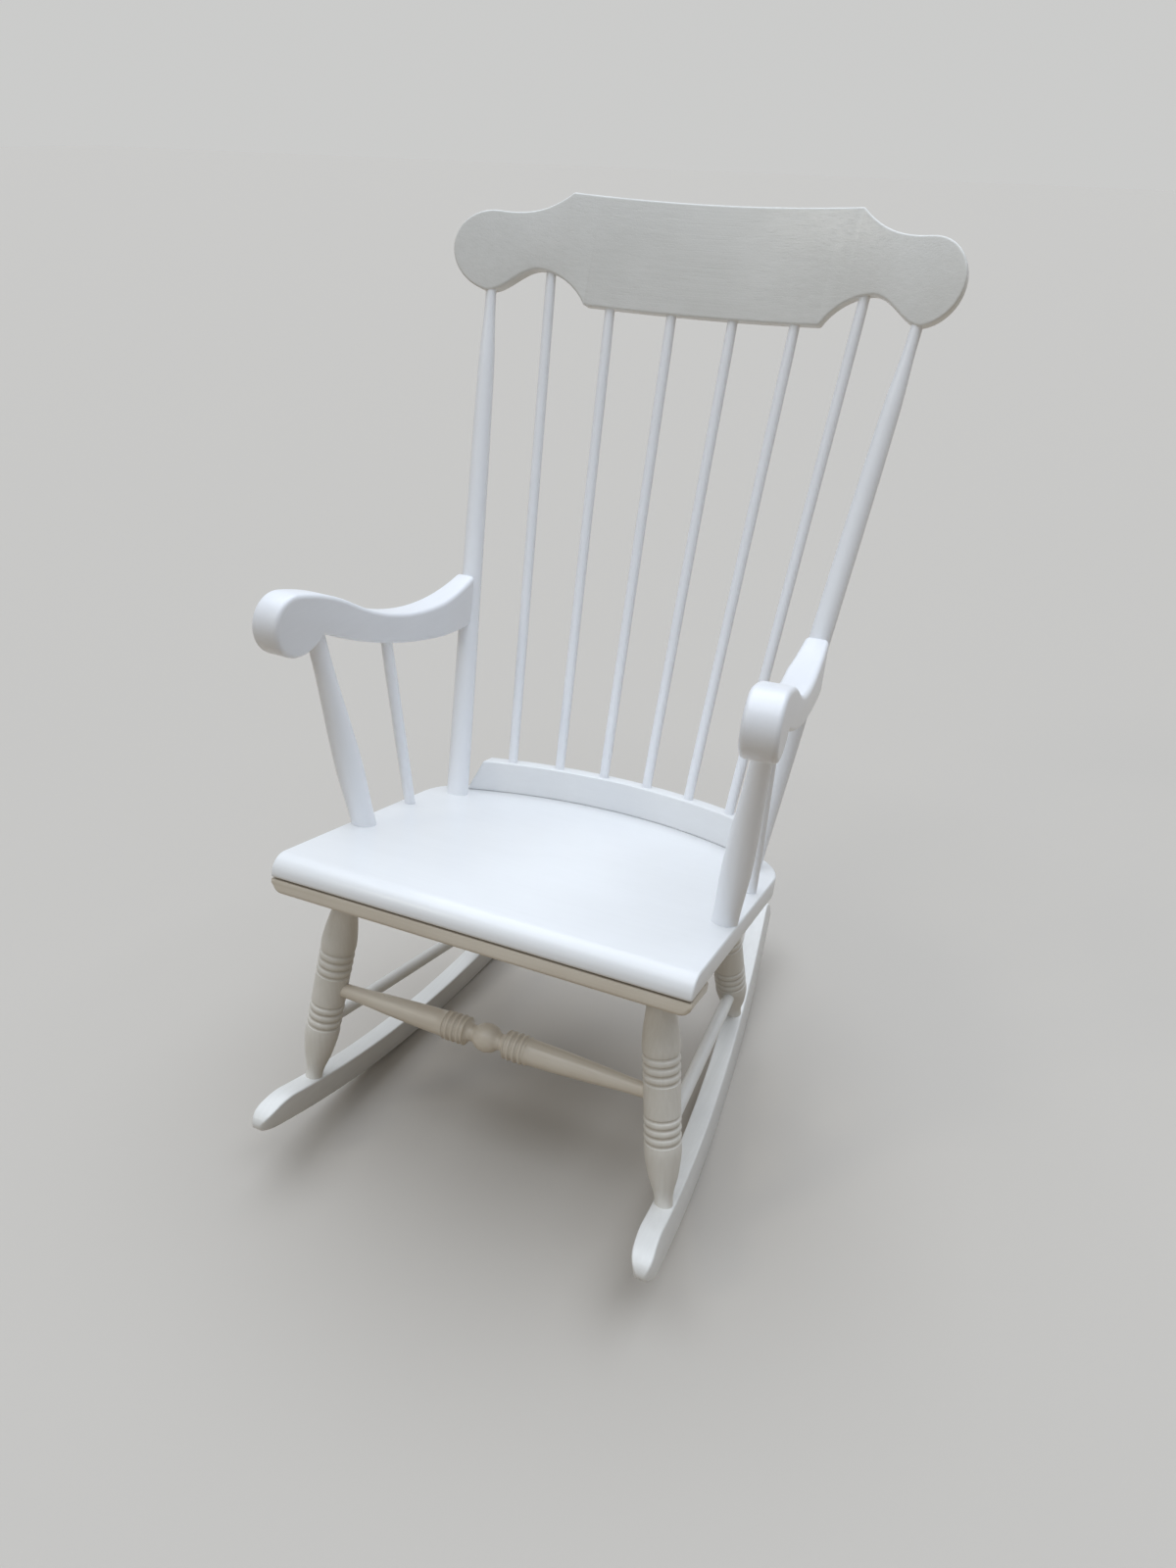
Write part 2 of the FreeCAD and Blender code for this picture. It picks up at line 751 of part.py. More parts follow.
def arm_side():
    """Side profile of the arm: scroll, hollow top, end against the post, belly and heel."""
    centre = Vector(0, -scroll_run, scroll_up)
    scroll_bottom = centre - Vector(0, 0, scroll_radius)
    crotch = scroll_bottom + Vector(0, arm_heel_run, arm_heel_rise)
    scroll_front = centre - Vector(0, scroll_radius, 0)
    scroll_top = centre + Vector(0, 0, scroll_radius)
    dip = Vector(0, -arm_dip_run, arm_dip_up)
    end_top = Vector(0, 0, arm_end_top_up)
    rise = arm_end_top_up - arm_dip_up
    hollow_radius = (arm_dip_run ** 2 + rise ** 2) / (2 * rise)
    fall = scroll_top.z - dip.z
    both_radii = ((dip.y - scroll_top.y) ** 2 + fall ** 2) / (2 * fall)
    hollow_centre = dip + Vector(0, 0, hollow_radius)
    crown_centre = scroll_top - Vector(0, 0, both_radii - hollow_radius)
    turning_point = hollow_centre + (crown_centre - hollow_centre) * (hollow_radius / both_radii)
    end_bottom = Vector(0, 0, arm_end_bottom_up)
    belly = Vector(0, -arm_belly_run, arm_belly_up)
    return [
        tangent_arc(scroll_bottom, Vector(0, 1, 0), crotch),
        arc(scroll_bottom, scroll_front, scroll_top),
        tangent_arc(scroll_top, Vector(0, 1, 0), turning_point),
        arc(turning_point, dip, end_top),
        line(end_top, end_bottom),
        arc(end_bottom, belly, crotch),
    ], crotch


def rear_trim():
    """Wedge that thins the arm's inner side from the crease to the post."""
    overrun = 1.5
    corners = [
        Vector(-arm_width, -arm_crease_run, 0),
        Vector(arm_rear_trim * overrun - arm_width, arm_crease_run * (overrun - 1), 0),
        Vector(-2 * arm_width, arm_crease_run * (overrun - 1), 0),
        Vector(-2 * arm_width, -arm_crease_run, 0),
    ]
    return Part.Face(Part.makePolygon(corners + corners[:1])).extrude(Z_AXIS * 2 * arm_end_top_up)


def arm_blank():
    edges, crotch = arm_side()
    blank = solid_face(edges).extrude(X_AXIS * -arm_width)
    inner_corner = [edge for edge in blank.Edges if is_along_x(edge) and near_point(edge, crotch)]
    blank = blank.makeFillet(arm_crotch_round, inner_corner)
    rims = edges_where(blank, lambda edge, middle: not is_along_x(edge) and not is_upright(edge))
    blank = blank.makeFillet(arm_edge_round, rims).cut(rear_trim())
    blank.Placement = arm_frame
    return seated(blank)


def in_arm(from_outer, run, up):
    """Point in the chair's frame from a place in the arm, run forward from its rear end."""
    return seat_frame.multVec(arm_frame.multVec(Vector(-from_outer, -run, up)))


support_foot = on_seat(seat_half - support_foot_inset, support_foot_back, 0)
support_top = in_arm(support_top_from_outer, support_top_run, scroll_up - support_top_below_scroll)
arm_spindle_foot = on_seat(seat_half - arm_spindle_foot_inset, arm_spindle_foot_back, 0)
arm_spindle_top = in_arm(arm_spindle_top_from_outer, arm_spindle_top_run, arm_belly_up)


def arm_support():
    length = (support_top - support_foot).Length
    radii = [
        (support_foot_radius / 2, support_foot_radius),
        (support_belly_above_foot, support_belly_radius),
        (length - support_foot_radius, support_top_radius),
    ]
    return swelled(support_foot, support_top, support_tenon, support_tenon, radii)


def arm_spindle():
    return tenoned_rod(arm_spindle_foot, arm_spindle_top, arm_spindle_tenon, arm_spindle_tenon,
                       arm_spindle_radius)


# Screws, plugs and pins

def screw(head_face, direction, length):
    """Screw with a round head, its head's outer face at head_face."""
    along = unit(direction)
    head = rod(head_face, head_face + along * screw_head_height, screw_head_radius)
    return head.fuse(rod(head_face, head_face + along * length, screw_radius)).removeSplitter()


def screw_hole(head_face, direction, length):
    """Clearance for a screw, open behind its head."""
    along = unit(direction)
    behind = along * (2 * plug_length)
    bore = rod(head_face - behind, head_face + along * (screw_head_height + joint_gap),
               screw_head_radius + joint_gap)
    return bore.fuse(rod(head_face, head_face + along * (length + joint_gap), screw_radius + joint_gap))


arm_screw_axis = on_seat(0, -1, 0) - on_seat(0, 0, 0)
post_screw_place = post_at(arm_dip_up)
post_screw_rear = seat_frame.multVec(post_screw_place + Vector(0, post_arm_radius, 0))
arm_screw_head = post_screw_rear + arm_screw_axis * plug_length
arm_screw_length = 2 * post_arm_radius - plug_length + arm_screw_grip

rail_screw_x = back_rail_half_span - rail_screw_from_end
rail_screw_places = [(x, rail_back(x, 0)) for x in (-rail_screw_x, 0, rail_screw_x)]
strip_screw_x = seat_half - strip_screw_from_end
strip_screw_shares = [2 * index / (strip_screw_count - 1) - 1 for index in range(strip_screw_count)]
strip_screw_places = [(share * strip_screw_x, strip_setback + strip_depth / 2)
                      for share in strip_screw_shares]
seat_up = on_seat(0, 0, 1) - on_seat(0, 0, 0)


def rail_screw_line(x, back):
    return on_seat(x, back, -seat_thickness), seat_up, seat_thickness + rail_screw_grip


def strip_screw_line(x, back):
    return on_seat(x, back, -seat_thickness - strip_height), seat_up, strip_height + strip_screw_grip


# Assemble the right-hand side, mirror it, and cut every joint

sweep = rocker_sweep()
front_leg = leg(front_foot, front_leg_top, sweep)
rear_leg = leg(rear_foot, rear_leg_top, sweep)
front_holes, rear_holes = stretcher_sockets()
feet = [(front_foot, front_leg_top), (rear_foot, rear_leg_top)]
pin_holes = [pin_rod(foot, top, pin_radius + joint_gap, joint_gap) for foot, top in feet]
front_leg = cut_all(front_leg, front_holes + pin_holes[:1])
rear_leg = cut_all(rear_leg, rear_holes + pin_holes[1:])
rocker = cut_all(rocker_blank(sweep), leg_sockets() + pin_holes)
pins = [pin_rod(foot, top, pin_radius, 0) for foot, top in feet]

post = back_post(0)
arm_screw_hole = screw_hole(arm_screw_head, arm_screw_axis, arm_screw_length)
post = post.cut(arm_screw_hole)
plug_end = arm_screw_head - arm_screw_axis * joint_gap
plug = rod(plug_end, plug_end - arm_screw_axis * (plug_length - joint_gap), screw_head_radius)
arm_screw = screw(arm_screw_head, arm_screw_axis, arm_screw_length)
arm = cut_all(arm_blank(), [
    back_post(joint_gap),
    socket(support_top, support_top - support_foot, support_top_radius, support_tenon),
    socket(arm_spindle_top, arm_spindle_top - arm_spindle_foot, arm_spindle_radius, arm_spindle_tenon),
    arm_screw_hole,
])
arm = max(arm.Solids, key=lambda solid: solid.Volume)

right_side = {
    "leg_front": front_leg,
    "leg_rear": rear_leg,
    "rocker": rocker,
    "side_stretcher": side_stretcher(),
    "back_post": post,
    "arm": arm,
    "arm_support": arm_support(),
    "arm_spindle": arm_spindle(),
}

seat_holes_right = [
    socket(front_leg_top, front_leg_top - front_foot, leg_neck_radius, leg_seat_tenon),
    socket(rear_leg_top, rear_leg_top - rear_foot, leg_neck_radius, leg_seat_tenon),
    socket(post_foot, post_foot - post_top, post_foot_radius, post_seat_tenon),
    socket(support_foot, support_foot - support_top, support_foot_radius, support_tenon),
    socket(arm_spindle_foot, arm_spindle_foot - arm_spindle_top, arm_spindle_radius, arm_spindle_tenon),
]
rail_screw_holes = [screw_hole(*rail_screw_line(*place)) for place in rail_screw_places]
strip_screw_holes = [screw_hole(*strip_screw_line(*place)) for place in strip_screw_places]
seat_holes = seat_holes_right + [mirrored(hole) for hole in seat_holes_right]
seat = cut_all(seated(seat_blank()), seat_holes + rail_screw_holes + strip_screw_holes)
strip = cut_all(seated(strip_blank()), strip_screw_holes)

spindles = [tenoned_rod(foot, top, spindle_rail_tenon, spindle_crest_tenon, spindle_radius)
            for foot, top in spindle_places()]
rail_holes = [socket(foot, foot - top, spindle_radius, spindle_rail_tenon)
              for foot, top in spindle_places()]
crest_holes = [socket(top, top - foot, spindle_radius, spindle_crest_tenon)
               for foot, top in spindle_places()]
post_hole = socket(post_top, post_top - post_foot, post_top_radius, post_crest_tenon)
crest = cut_all(crest_blank(), crest_holes + [post_hole, mirrored(post_hole)])
rail = cut_all(seated(rail_blank()), rail_holes + rail_screw_holes)

nodes = {
    "seat_board": seat,
    "front_strip": strip,
    "front_stretcher": front_stretcher(),
    "rear_stretcher": rear_stretcher(),
    "back_rail": rail,
    "crest_rail": crest,
}
for name, shape in right_side.items():
    nodes[name + "_right"] = shape
    nodes[name + "_left"] = mirrored(shape)
for number, spindle in enumerate(spindles, start=1):
    nodes["back_spindle_" + str(number)] = spindle
nodes["arm_screws"] = Part.makeCompound([arm_screw, mirrored(arm_screw)])
nodes["arm_screw_plugs"] = Part.makeCompound([plug, mirrored(plug)])
nodes["back_rail_screws"] = Part.makeCompound(
    [screw(*rail_screw_line(*place)) for place in rail_screw_places])
nodes["front_strip_screws"] = Part.makeCompound(
    [screw(*strip_screw_line(*place)) for place in strip_screw_places])
nodes["rocker_pins"] = Part.makeCompound(pins + [mirrored(pin) for pin in pins])

os.makedirs("parts", exist_ok=True)
for name, shape in nodes.items():
    shape.exportStep("parts/" + name + ".step")
    print(name, len(shape.Solids), "solids", round(shape.Volume), "mm3")
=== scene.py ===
# %% [markdown]
# # A white painted windsor rocking chair
# Almost every stick of this chair is either turned on a lathe or sawn from a board, and all of it
# is under white paint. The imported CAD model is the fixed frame: it says where each piece is. This
# lesson models each wooden piece again with Blender's own tools, so that the meshes have clean
# loops and soft painted edges, and then paints, lights and photographs the chair.

# %% Load the frame
import math

import bmesh
import bpy
from mathutils import Matrix, Vector


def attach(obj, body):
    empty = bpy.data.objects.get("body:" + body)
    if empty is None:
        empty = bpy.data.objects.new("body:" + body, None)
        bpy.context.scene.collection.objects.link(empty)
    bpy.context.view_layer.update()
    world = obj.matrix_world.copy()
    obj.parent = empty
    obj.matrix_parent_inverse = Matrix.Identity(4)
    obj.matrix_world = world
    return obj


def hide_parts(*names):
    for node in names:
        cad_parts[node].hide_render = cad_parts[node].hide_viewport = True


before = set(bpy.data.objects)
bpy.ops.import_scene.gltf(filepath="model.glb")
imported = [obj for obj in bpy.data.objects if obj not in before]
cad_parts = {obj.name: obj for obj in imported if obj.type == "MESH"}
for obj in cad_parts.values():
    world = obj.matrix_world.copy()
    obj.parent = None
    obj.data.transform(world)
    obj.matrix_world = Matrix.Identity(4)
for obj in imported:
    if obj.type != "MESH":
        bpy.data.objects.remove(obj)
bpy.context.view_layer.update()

MM = 0.001

# %% [markdown]
# ## The seat is the workbench
# A windsor chair is built from its seat: the legs go up into it and the back and arms stand on it.
# Every place could be given in the room, but the seat leans back, so those numbers would say little.
# Most places here are therefore given on the seat, in millimetres: across, back from its front edge,
# and up square to its top. One matrix, the seat's tilt and height, takes such a place into the room.

# %% Places on the seat
SEAT_TILT = math.radians(13.85)
SEAT_FRONT_Y, SEAT_FRONT_HEIGHT = -288.8, 421.2
SEAT_DEPTH, SEAT_THICKNESS = 480.0, 27.0
seat_place = (Matrix.Translation((0, SEAT_FRONT_Y, SEAT_FRONT_HEIGHT))
              @ Matrix.Rotation(-SEAT_TILT, 4, "X"))


def on_seat(across, back, up):
    """A place in the room, in millimetres, from a place on the seat."""
    return seat_place @ Vector((across, back, up))


print("seat front edge:", on_seat(0, 0, 0), "rear edge:", on_seat(0, SEAT_DEPTH, 0))

# %% [markdown]
# ## Curves for outlines
# A pattern maker draws an outline with a compass and a few fair curves. Curve objects could do that
# too, but short functions keep every point in millimetres and easy to mirror. These draw an arc
# through three points, a curve that leaves and arrives in given directions, and a fair line through
# a few radii for the turned pieces.

# %% The compass: an arc through three points
def arc_through(start, middle, end, steps):
    """Points of the circle arc from start through middle to end, both ends included."""
    ax, ay = start
    bx, by = middle
    cx, cy = end
    turn = 2 * (ax * (by - cy) + bx * (cy - ay) + cx * (ay - by))
    a2, b2, c2 = ax * ax + ay * ay, bx * bx + by * by, cx * cx + cy * cy
    ux = (a2 * (by - cy) + b2 * (cy - ay) + c2 * (ay - by)) / turn
    uy = (a2 * (cx - bx) + b2 * (ax - cx) + c2 * (bx - ax)) / turn
    radius = math.hypot(ax - ux, ay - uy)
    first = math.atan2(ay - uy, ax - ux)
    to_middle = (math.atan2(by - uy, bx - ux) - first) % math.tau
    to_end = (math.atan2(cy - uy, cx - ux) - first) % math.tau
    sweep = to_end if to_middle < to_end else to_end - math.tau
    angles = [first + sweep * step / steps for step in range(steps + 1)]
    return [(ux + radius * math.cos(angle), uy + radius * math.sin(angle)) for angle in angles]


half_circle = arc_through((1, 0), (0, 1), (-1, 0), steps=4)
print("half circle:", [(round(x, 2), round(y, 2)) for x, y in half_circle])

# %% A fair curve between two directions
def toward(angle):
    return (math.cos(angle), math.sin(angle))


def fair_curve(start, leave, end, arrive, steps):
    """Points of a smooth curve that leaves start and arrives at end in the given directions.

    It is a cubic curve whose two handles are each a third as long as the way between its ends.
    """
    handle = math.dist(start, end) / 3
    one = [s + handle * d for s, d in zip(start, leave)]
    two = [e - handle * d for e, d in zip(end, arrive)]
    points = []
    for step in range(steps + 1):
        t = step / steps
        weights = ((1 - t) ** 3, 3 * t * (1 - t) ** 2, 3 * t * t * (1 - t), t ** 3)
        points.append(tuple(sum(w * p[axis] for w, p in zip(weights, (start, one, two, end)))
                            for axis in (0, 1)))
    return points


quarter_turn = fair_curve((1, 0), (0, 1), (0, 1), (-1, 0), steps=2)
print("quarter turn:", [(round(x, 2), round(y, 2)) for x, y in quarter_turn])

# %% A fair run of radii
def fair_radii(places, steps):
    """A smooth run through (distance, radius) places that lies level at both ends."""
    slopes = [0.0]
    for (z0, r0), _, (z2, r2) in zip(places, places[1:], places[2:]):
        slopes.append((r2 - r0) / (z2 - z0))
    slopes.append(0.0)
    run = []
    for (z0, r0), (z1, r1), s0, s1 in zip(places, places[1:], slopes, slopes[1:]):
        span = z1 - z0
        for step in range(steps):
            t = step / steps
            rise = (1 + 2 * t) * (1 - t) ** 2 * r0 + t * t * (3 - 2 * t) * r1
            lean = t * (1 - t) ** 2 * span * s0 - t * t * (1 - t) * span * s1
            run.append((z0 + span * t, rise + lean))
    return run + [places[-1]]


print("a run from 10 to 20:", [round(r, 1) for z, r in fair_radii([(0, 10), (1, 20)], steps=4)])

# %% [markdown]
# ## What the paint shows
# White semi-gloss paint is never one flat white. The brush leaves fine lines along the wood, the
# film is a little uneven, and the grain of the pine shows through as faint long streaks. These could
# be drawn again in every material. Several finishes share them, so each is a node group with its own
# inputs and outputs, and every paint below places the groups with its own direction and amounts.

# %% Helpers that add nodes
def shader_group(name, inputs, outputs):
    """An empty shader node group with named sockets; returns it with its input and output nodes."""
    group = bpy.data.node_groups.new(name, "ShaderNodeTree")
    for way, sockets in (("INPUT", inputs), ("OUTPUT", outputs)):
        for socket, kind in sockets:
            group.interface.new_socket(name=socket, in_out=way, socket_type=f"NodeSocket{kind}")
    return group, group.nodes.new("NodeGroupInput"), group.nodes.new("NodeGroupOutput")


def add_noise(tree, vector, scale, detail, roughness):
    noise = tree.nodes.new("ShaderNodeTexNoise")
    noise.inputs["Scale"].default_value = scale
    noise.inputs["Detail"].default_value = detail
    noise.inputs["Roughness"].default_value = roughness
    tree.links.new(vector, noise.inputs["Vector"])
    return noise.outputs["Fac"]


def add_math(tree, operation, first, second):
    """A Math node; each side is a socket or a plain number."""
    node = tree.nodes.new("ShaderNodeMath")
    node.operation = operation
    for value, socket in zip((first, second), node.inputs):
        if isinstance(value, (int, float)):
            socket.default_value = value
        else:
            tree.links.new(value, socket)
    return node.outputs["Value"]


print("node groups to start with:", len(bpy.data.node_groups))

# %% Brushed film: the height of the paint and how its tone wanders
CLOUD_SHARE, STROKE_SHARE = 0.6, 0.4
brushed_film, film_in, film_out = shader_group(
    "brushed film", [("Along Brush", "Vector"), ("Place", "Vector"), ("Pebbling", "Float")],
    [("Height", "Float"), ("Tone", "Float")])
strokes = add_noise(brushed_film, film_in.outputs["Along Brush"], scale=1.0, detail=4.0, roughness=0.6)
pebble = add_noise(brushed_film, film_in.outputs["Place"], scale=420.0, detail=2.0, roughness=0.5)
clouds = add_noise(brushed_film, film_in.outputs["Place"], scale=9.0, detail=3.0, roughness=0.5)
pebble_height = add_math(brushed_film, "MULTIPLY", pebble, film_in.outputs["Pebbling"])
film_height = add_math(brushed_film, "ADD", strokes, pebble_height)
cloud_tone = add_math(brushed_film, "MULTIPLY", clouds, CLOUD_SHARE)
stroke_tone = add_math(brushed_film, "MULTIPLY", strokes, STROKE_SHARE)
film_tone = add_math(brushed_film, "ADD", cloud_tone, stroke_tone)
brushed_film.links.new(film_height, film_out.inputs["Height"])
brushed_film.links.new(film_tone, film_out.inputs["Tone"])
print("brushed film nodes:", len(brushed_film.nodes))

# %% Grain under the paint: thin long streaks, as a mask from 0 to 1
STREAK_NOISE, WHOLE_RANGE = (0.52, 0.72), (0.0, 1.0)


def add_range(tree, value, old, new):
    """A Map Range node that takes the old (lowest, highest) pair to the new one."""
    node = tree.nodes.new("ShaderNodeMapRange")
    for socket, number in zip(("From Min", "From Max", "To Min", "To Max"), (*old, *new)):
        node.inputs[socket].default_value = number
    tree.links.new(value, node.inputs["Value"])
    return node.outputs["Result"]


hidden_grain, grain_in, grain_out = shader_group(
    "hidden grain", [("Along Grain", "Vector")], [("Streaks", "Float")])
fibres = add_noise(hidden_grain, grain_in.outputs["Along Grain"], scale=1.0, detail=6.0, roughness=0.7)
streaks = add_range(hidden_grain, fibres, STREAK_NOISE, WHOLE_RANGE)
hidden_grain.links.new(streaks, grain_out.inputs["Streaks"])
print("hidden grain nodes:", len(hidden_grain.nodes))

# %% [markdown]
# ## One paint, brushed three ways, with painted light in its tones
# A painter follows the wood: across the chair on the seat and crest, front to back on the arms and
# rockers, and up and down on the legs and spindles. One material could cover it all, but its brush
# lines would then run one way only, so a Mapping node squeezes the pattern along each brush direction.
# The seat and rail keep a slightly cool plain white. The other tones hold painted light and shade: brighter
# and cooler on the arms, posts and spindles, greyer on the crest, which also shows more grain, darker on
# the rockers, and warmer and darker on the legs and under the seat, as painted shade with warm light from
# the floor. Grooves get a little dust and painted shade, which a vertex attribute named groove marks.

# %% Squeezing a pattern and mixing colours
MIX_FIRST, MIX_SECOND, MIX_RESULT = 6, 7, 2


def squeezed(tree, place, axis, along, across):
    """The place, squeezed so that a noise on it runs in lines along one axis."""
    mapping = tree.nodes.new("ShaderNodeMapping")
    mapping.inputs["Scale"].default_value = [along if axis == letter else across for letter in "xyz"]
    tree.links.new(place, mapping.inputs["Vector"])
    return mapping.outputs["Vector"]


def add_mix(tree, amount, first, second):
    """A colour mix; each colour is a socket or a plain colour.

    A Mix node has sockets of one name for numbers, vectors and colours, so these go by position.
    """
    node = tree.nodes.new("ShaderNodeMix")
    node.data_type = "RGBA"
    tree.links.new(amount, node.inputs["Factor"])
    for value, socket in ((first, node.inputs[MIX_FIRST]), (second, node.inputs[MIX_SECOND])):
        if isinstance(value, tuple):
            socket.default_value = value
        else:
            tree.links.new(value, socket)
    return node.outputs[MIX_RESULT]


print("shared patterns:", [group.name for group in bpy.data.node_groups])

# %% Mix the paint
BRUSH_ALONG, BRUSH_ACROSS = 5.0, 240.0
GRAIN_ALONG, GRAIN_ACROSS = 3.0, 520.0
TONE_NOISE, GLOSS_NOISE = (0.35, 0.65), (0.3, 0.7)
# A brownish grey for dust and painted shade in grooves, and the largest share of it that the paint takes.
DUST_AND_SHADE, DUST_AND_SHADE_SHARE = (0.42, 0.37, 0.30, 1), 0.45
FILM_THICKNESS = 0.0006
COAT, COAT_ROUGHNESS = 0.12, 0.2
SMOOTH_FILM, PEBBLED_FILM = 0.1, 1.1


def white_paint(piece, axis, tones, gloss, grain, relief, pebbling=SMOOTH_FILM):
    """White paint brushed along one axis, over wood whose grain runs the same way.

    The tones are its bright and its shaded white, the gloss is its roughness where the film is thin
    and where it is thick, the grain is how much of the wood shows, the relief is how far the brush
    lines stand out, and the pebbling is the share of fine orange peel in that relief.
    """
    bright, shaded = tones
    paint = bpy.data.materials.new(f"white_paint_{piece}")
    paint.use_nodes = True
    tree = paint.node_tree
    shader = tree.nodes["Principled BSDF"]
    place = tree.nodes.new("ShaderNodeTexCoord").outputs["Object"]
    film = tree.nodes.new("ShaderNodeGroup")
    film.node_tree = brushed_film
    tree.links.new(squeezed(tree, place, axis, BRUSH_ALONG, BRUSH_ACROSS), film.inputs["Along Brush"])
    tree.links.new(place, film.inputs["Place"])
    film.inputs["Pebbling"].default_value = pebbling
    wood = tree.nodes.new("ShaderNodeGroup")
    wood.node_tree = hidden_grain
    tree.links.new(squeezed(tree, place, axis, GRAIN_ALONG, GRAIN_ACROSS), wood.inputs["Along Grain"])
    tone = add_range(tree, film.outputs["Tone"], TONE_NOISE, WHOLE_RANGE)
    colour = add_mix(tree, tone, shaded, bright)
    streak_amount = add_math(tree, "MULTIPLY", wood.outputs["Streaks"], grain)
    colour = add_mix(tree, streak_amount, colour, shaded)
    groove = tree.nodes.new("ShaderNodeAttribute")
    groove.attribute_name = "groove"
    # Deep in grooves and in the quirk the paint turns toward a brownish grey: partly dust, partly painted
    # shade where the recess lies in shadow.
    dust_and_shade_amount = add_math(tree, "MULTIPLY", groove.outputs["Fac"], DUST_AND_SHADE_SHARE)
    colour = add_mix(tree, dust_and_shade_amount, colour, DUST_AND_SHADE)
    tree.links.new(colour, shader.inputs["Base Color"])
    tree.links.new(add_range(tree, film.outputs["Tone"], GLOSS_NOISE, gloss), shader.inputs["Roughness"])
    bump = tree.nodes.new("ShaderNodeBump")
    bump.inputs["Strength"].default_value = relief
    bump.inputs["Distance"].default_value = FILM_THICKNESS
    height = add_math(tree, "SUBTRACT", film.outputs["Height"], streak_amount)
    tree.links.new(height, bump.inputs["Height"])
    tree.links.new(bump.outputs["Normal"], shader.inputs["Normal"])
    shader.inputs["Coat Weight"].default_value = COAT
    shader.inputs["Coat Roughness"].default_value = COAT_ROUGHNESS
    return paint


print("film:", FILM_THICKNESS / MM, "mm thick, dust in grooves:", DUST_AND_SHADE[:3])

# %% Make the paints
SATIN, SHINY, GLOSSY = (0.46, 0.32), (0.38, 0.29), (0.34, 0.29)
# Apart from the seat's, these tones are lit and shaded copies of the one white: painted light on the arms
# and uprights, painted shade on the crest and rockers, and warm painted shade on the legs, strip and
# stretchers.
SEAT_TONES = (0.87, 0.88, 0.89, 1), (0.84, 0.848, 0.857, 1)
CREST_SHADED_TONES = (0.81, 0.81, 0.79, 1), (0.73, 0.73, 0.705, 1)
ARM_LIT_TONES = (0.89, 0.905, 0.94, 1), (0.86, 0.875, 0.91, 1)
UPRIGHT_LIT_TONES = (0.94, 0.955, 0.985, 1), (0.915, 0.93, 0.96, 1)
ROCKER_SHADED_TONES = (0.84, 0.84, 0.82, 1), (0.76, 0.755, 0.735, 1)
LEG_WARM_SHADED_TONES = (0.80, 0.775, 0.725, 1), (0.71, 0.68, 0.615, 1)
UNDERSEAT_WARM_SHADED_TONES = (0.72, 0.66, 0.565, 1), (0.64, 0.57, 0.47, 1)
paint_seat = white_paint("seat", "x", SEAT_TONES, GLOSSY, grain=0.03, relief=0.08)
paint_crest = white_paint("crest", "x", CREST_SHADED_TONES, SHINY, grain=1.0, relief=0.26, pebbling=PEBBLED_FILM)
paint_arm = white_paint("arm", "y", ARM_LIT_TONES, GLOSSY, grain=0.1, relief=0.06)
paint_upright = white_paint("upright", "z", UPRIGHT_LIT_TONES, SATIN, grain=0.1, relief=0.03)
paint_rocker = white_paint("rocker", "y", ROCKER_SHADED_TONES, SHINY, grain=0.2, relief=0.08)
paint_leg = white_paint("leg", "z", LEG_WARM_SHADED_TONES, SATIN, grain=0.3, relief=0.12)
paint_strip = white_paint("strip", "x", UNDERSEAT_WARM_SHADED_TONES, SHINY, grain=0.4, relief=0.12)
paint_stretcher = white_paint("stretcher", "x", UNDERSEAT_WARM_SHADED_TONES, SHINY, grain=0.4, relief=0.12)
print("paints:", [paint.name for paint in bpy.data.materials if paint.name.startswith("white_paint_")])

# %% [markdown]
# ## Modelling by hand, in code
# Every piece starts as a plane that is merged to a single point. The point is walked along an
# outline with extrude, which leaves a line of edges behind it, as drawing with a pencil does. A line
# is then spun into a turned piece, or filled and extruded into a board. Stacked cylinders and boxes
# would be quicker, but they have no fair curves. At the end the piece gets its place in its mesh, so
# its object stays at the origin, and it takes over from its CAD node.

# %% The pencil
def start_piece(name):
    """A new mesh object with one selected point at the origin, left in edit mode."""
    bpy.ops.object.select_all(action="DESELECT")
    bpy.ops.mesh.primitive_plane_add(size=1)
    piece = bpy.context.object
    piece.name = name
    piece.data.name = name
    bpy.ops.object.mode_set(mode="EDIT")
    bpy.ops.mesh.select_mode(type="VERT")
    bpy.ops.mesh.select_all(action="SELECT")
    bpy.ops.mesh.merge(type="CENTER")
    return piece


def draw_line(places):
    """Walk the selected point through places in millimetres, leaving edges behind it."""
    points = [Vector(place) * MM for place in places]
    bpy.ops.transform.translate(value=points[0])
    for here, there in zip(points, points[1:]):
        bpy.ops.mesh.extrude_region_move(TRANSFORM_OT_translate={"value": there - here})


print("places are drawn in millimetres, of", MM, "m each")

# %% Finishing a piece
MERGE_DISTANCE = 0.000002


def clean_up():
    """Merge doubled points, turn every face outward and leave edit mode."""
    bpy.ops.mesh.select_all(action="SELECT")
    bpy.ops.mesh.remove_doubles(threshold=MERGE_DISTANCE)
    bpy.ops.mesh.normals_make_consistent(inside=False)
    bpy.ops.object.mode_set(mode="OBJECT")


def take_up(piece):
    """Select just this piece and make it the active one."""
    bpy.ops.object.select_all(action="DESELECT")
    piece.select_set(True)
    bpy.context.view_layer.objects.active = piece


def shade(piece, angle):
    """Shade smoothly over every edge that turns by less than an angle in degrees."""
    take_up(piece)
    bpy.ops.object.shade_smooth_by_angle(angle=math.radians(angle))


def settle(piece, matrix):
    """Move the piece to its place and write the place into its mesh."""
    take_up(piece)
    piece.matrix_world = matrix
    bpy.ops.object.transform_apply(location=True, rotation=True, scale=True)


print("points closer than", MERGE_DISTANCE / MM, "mm are merged")

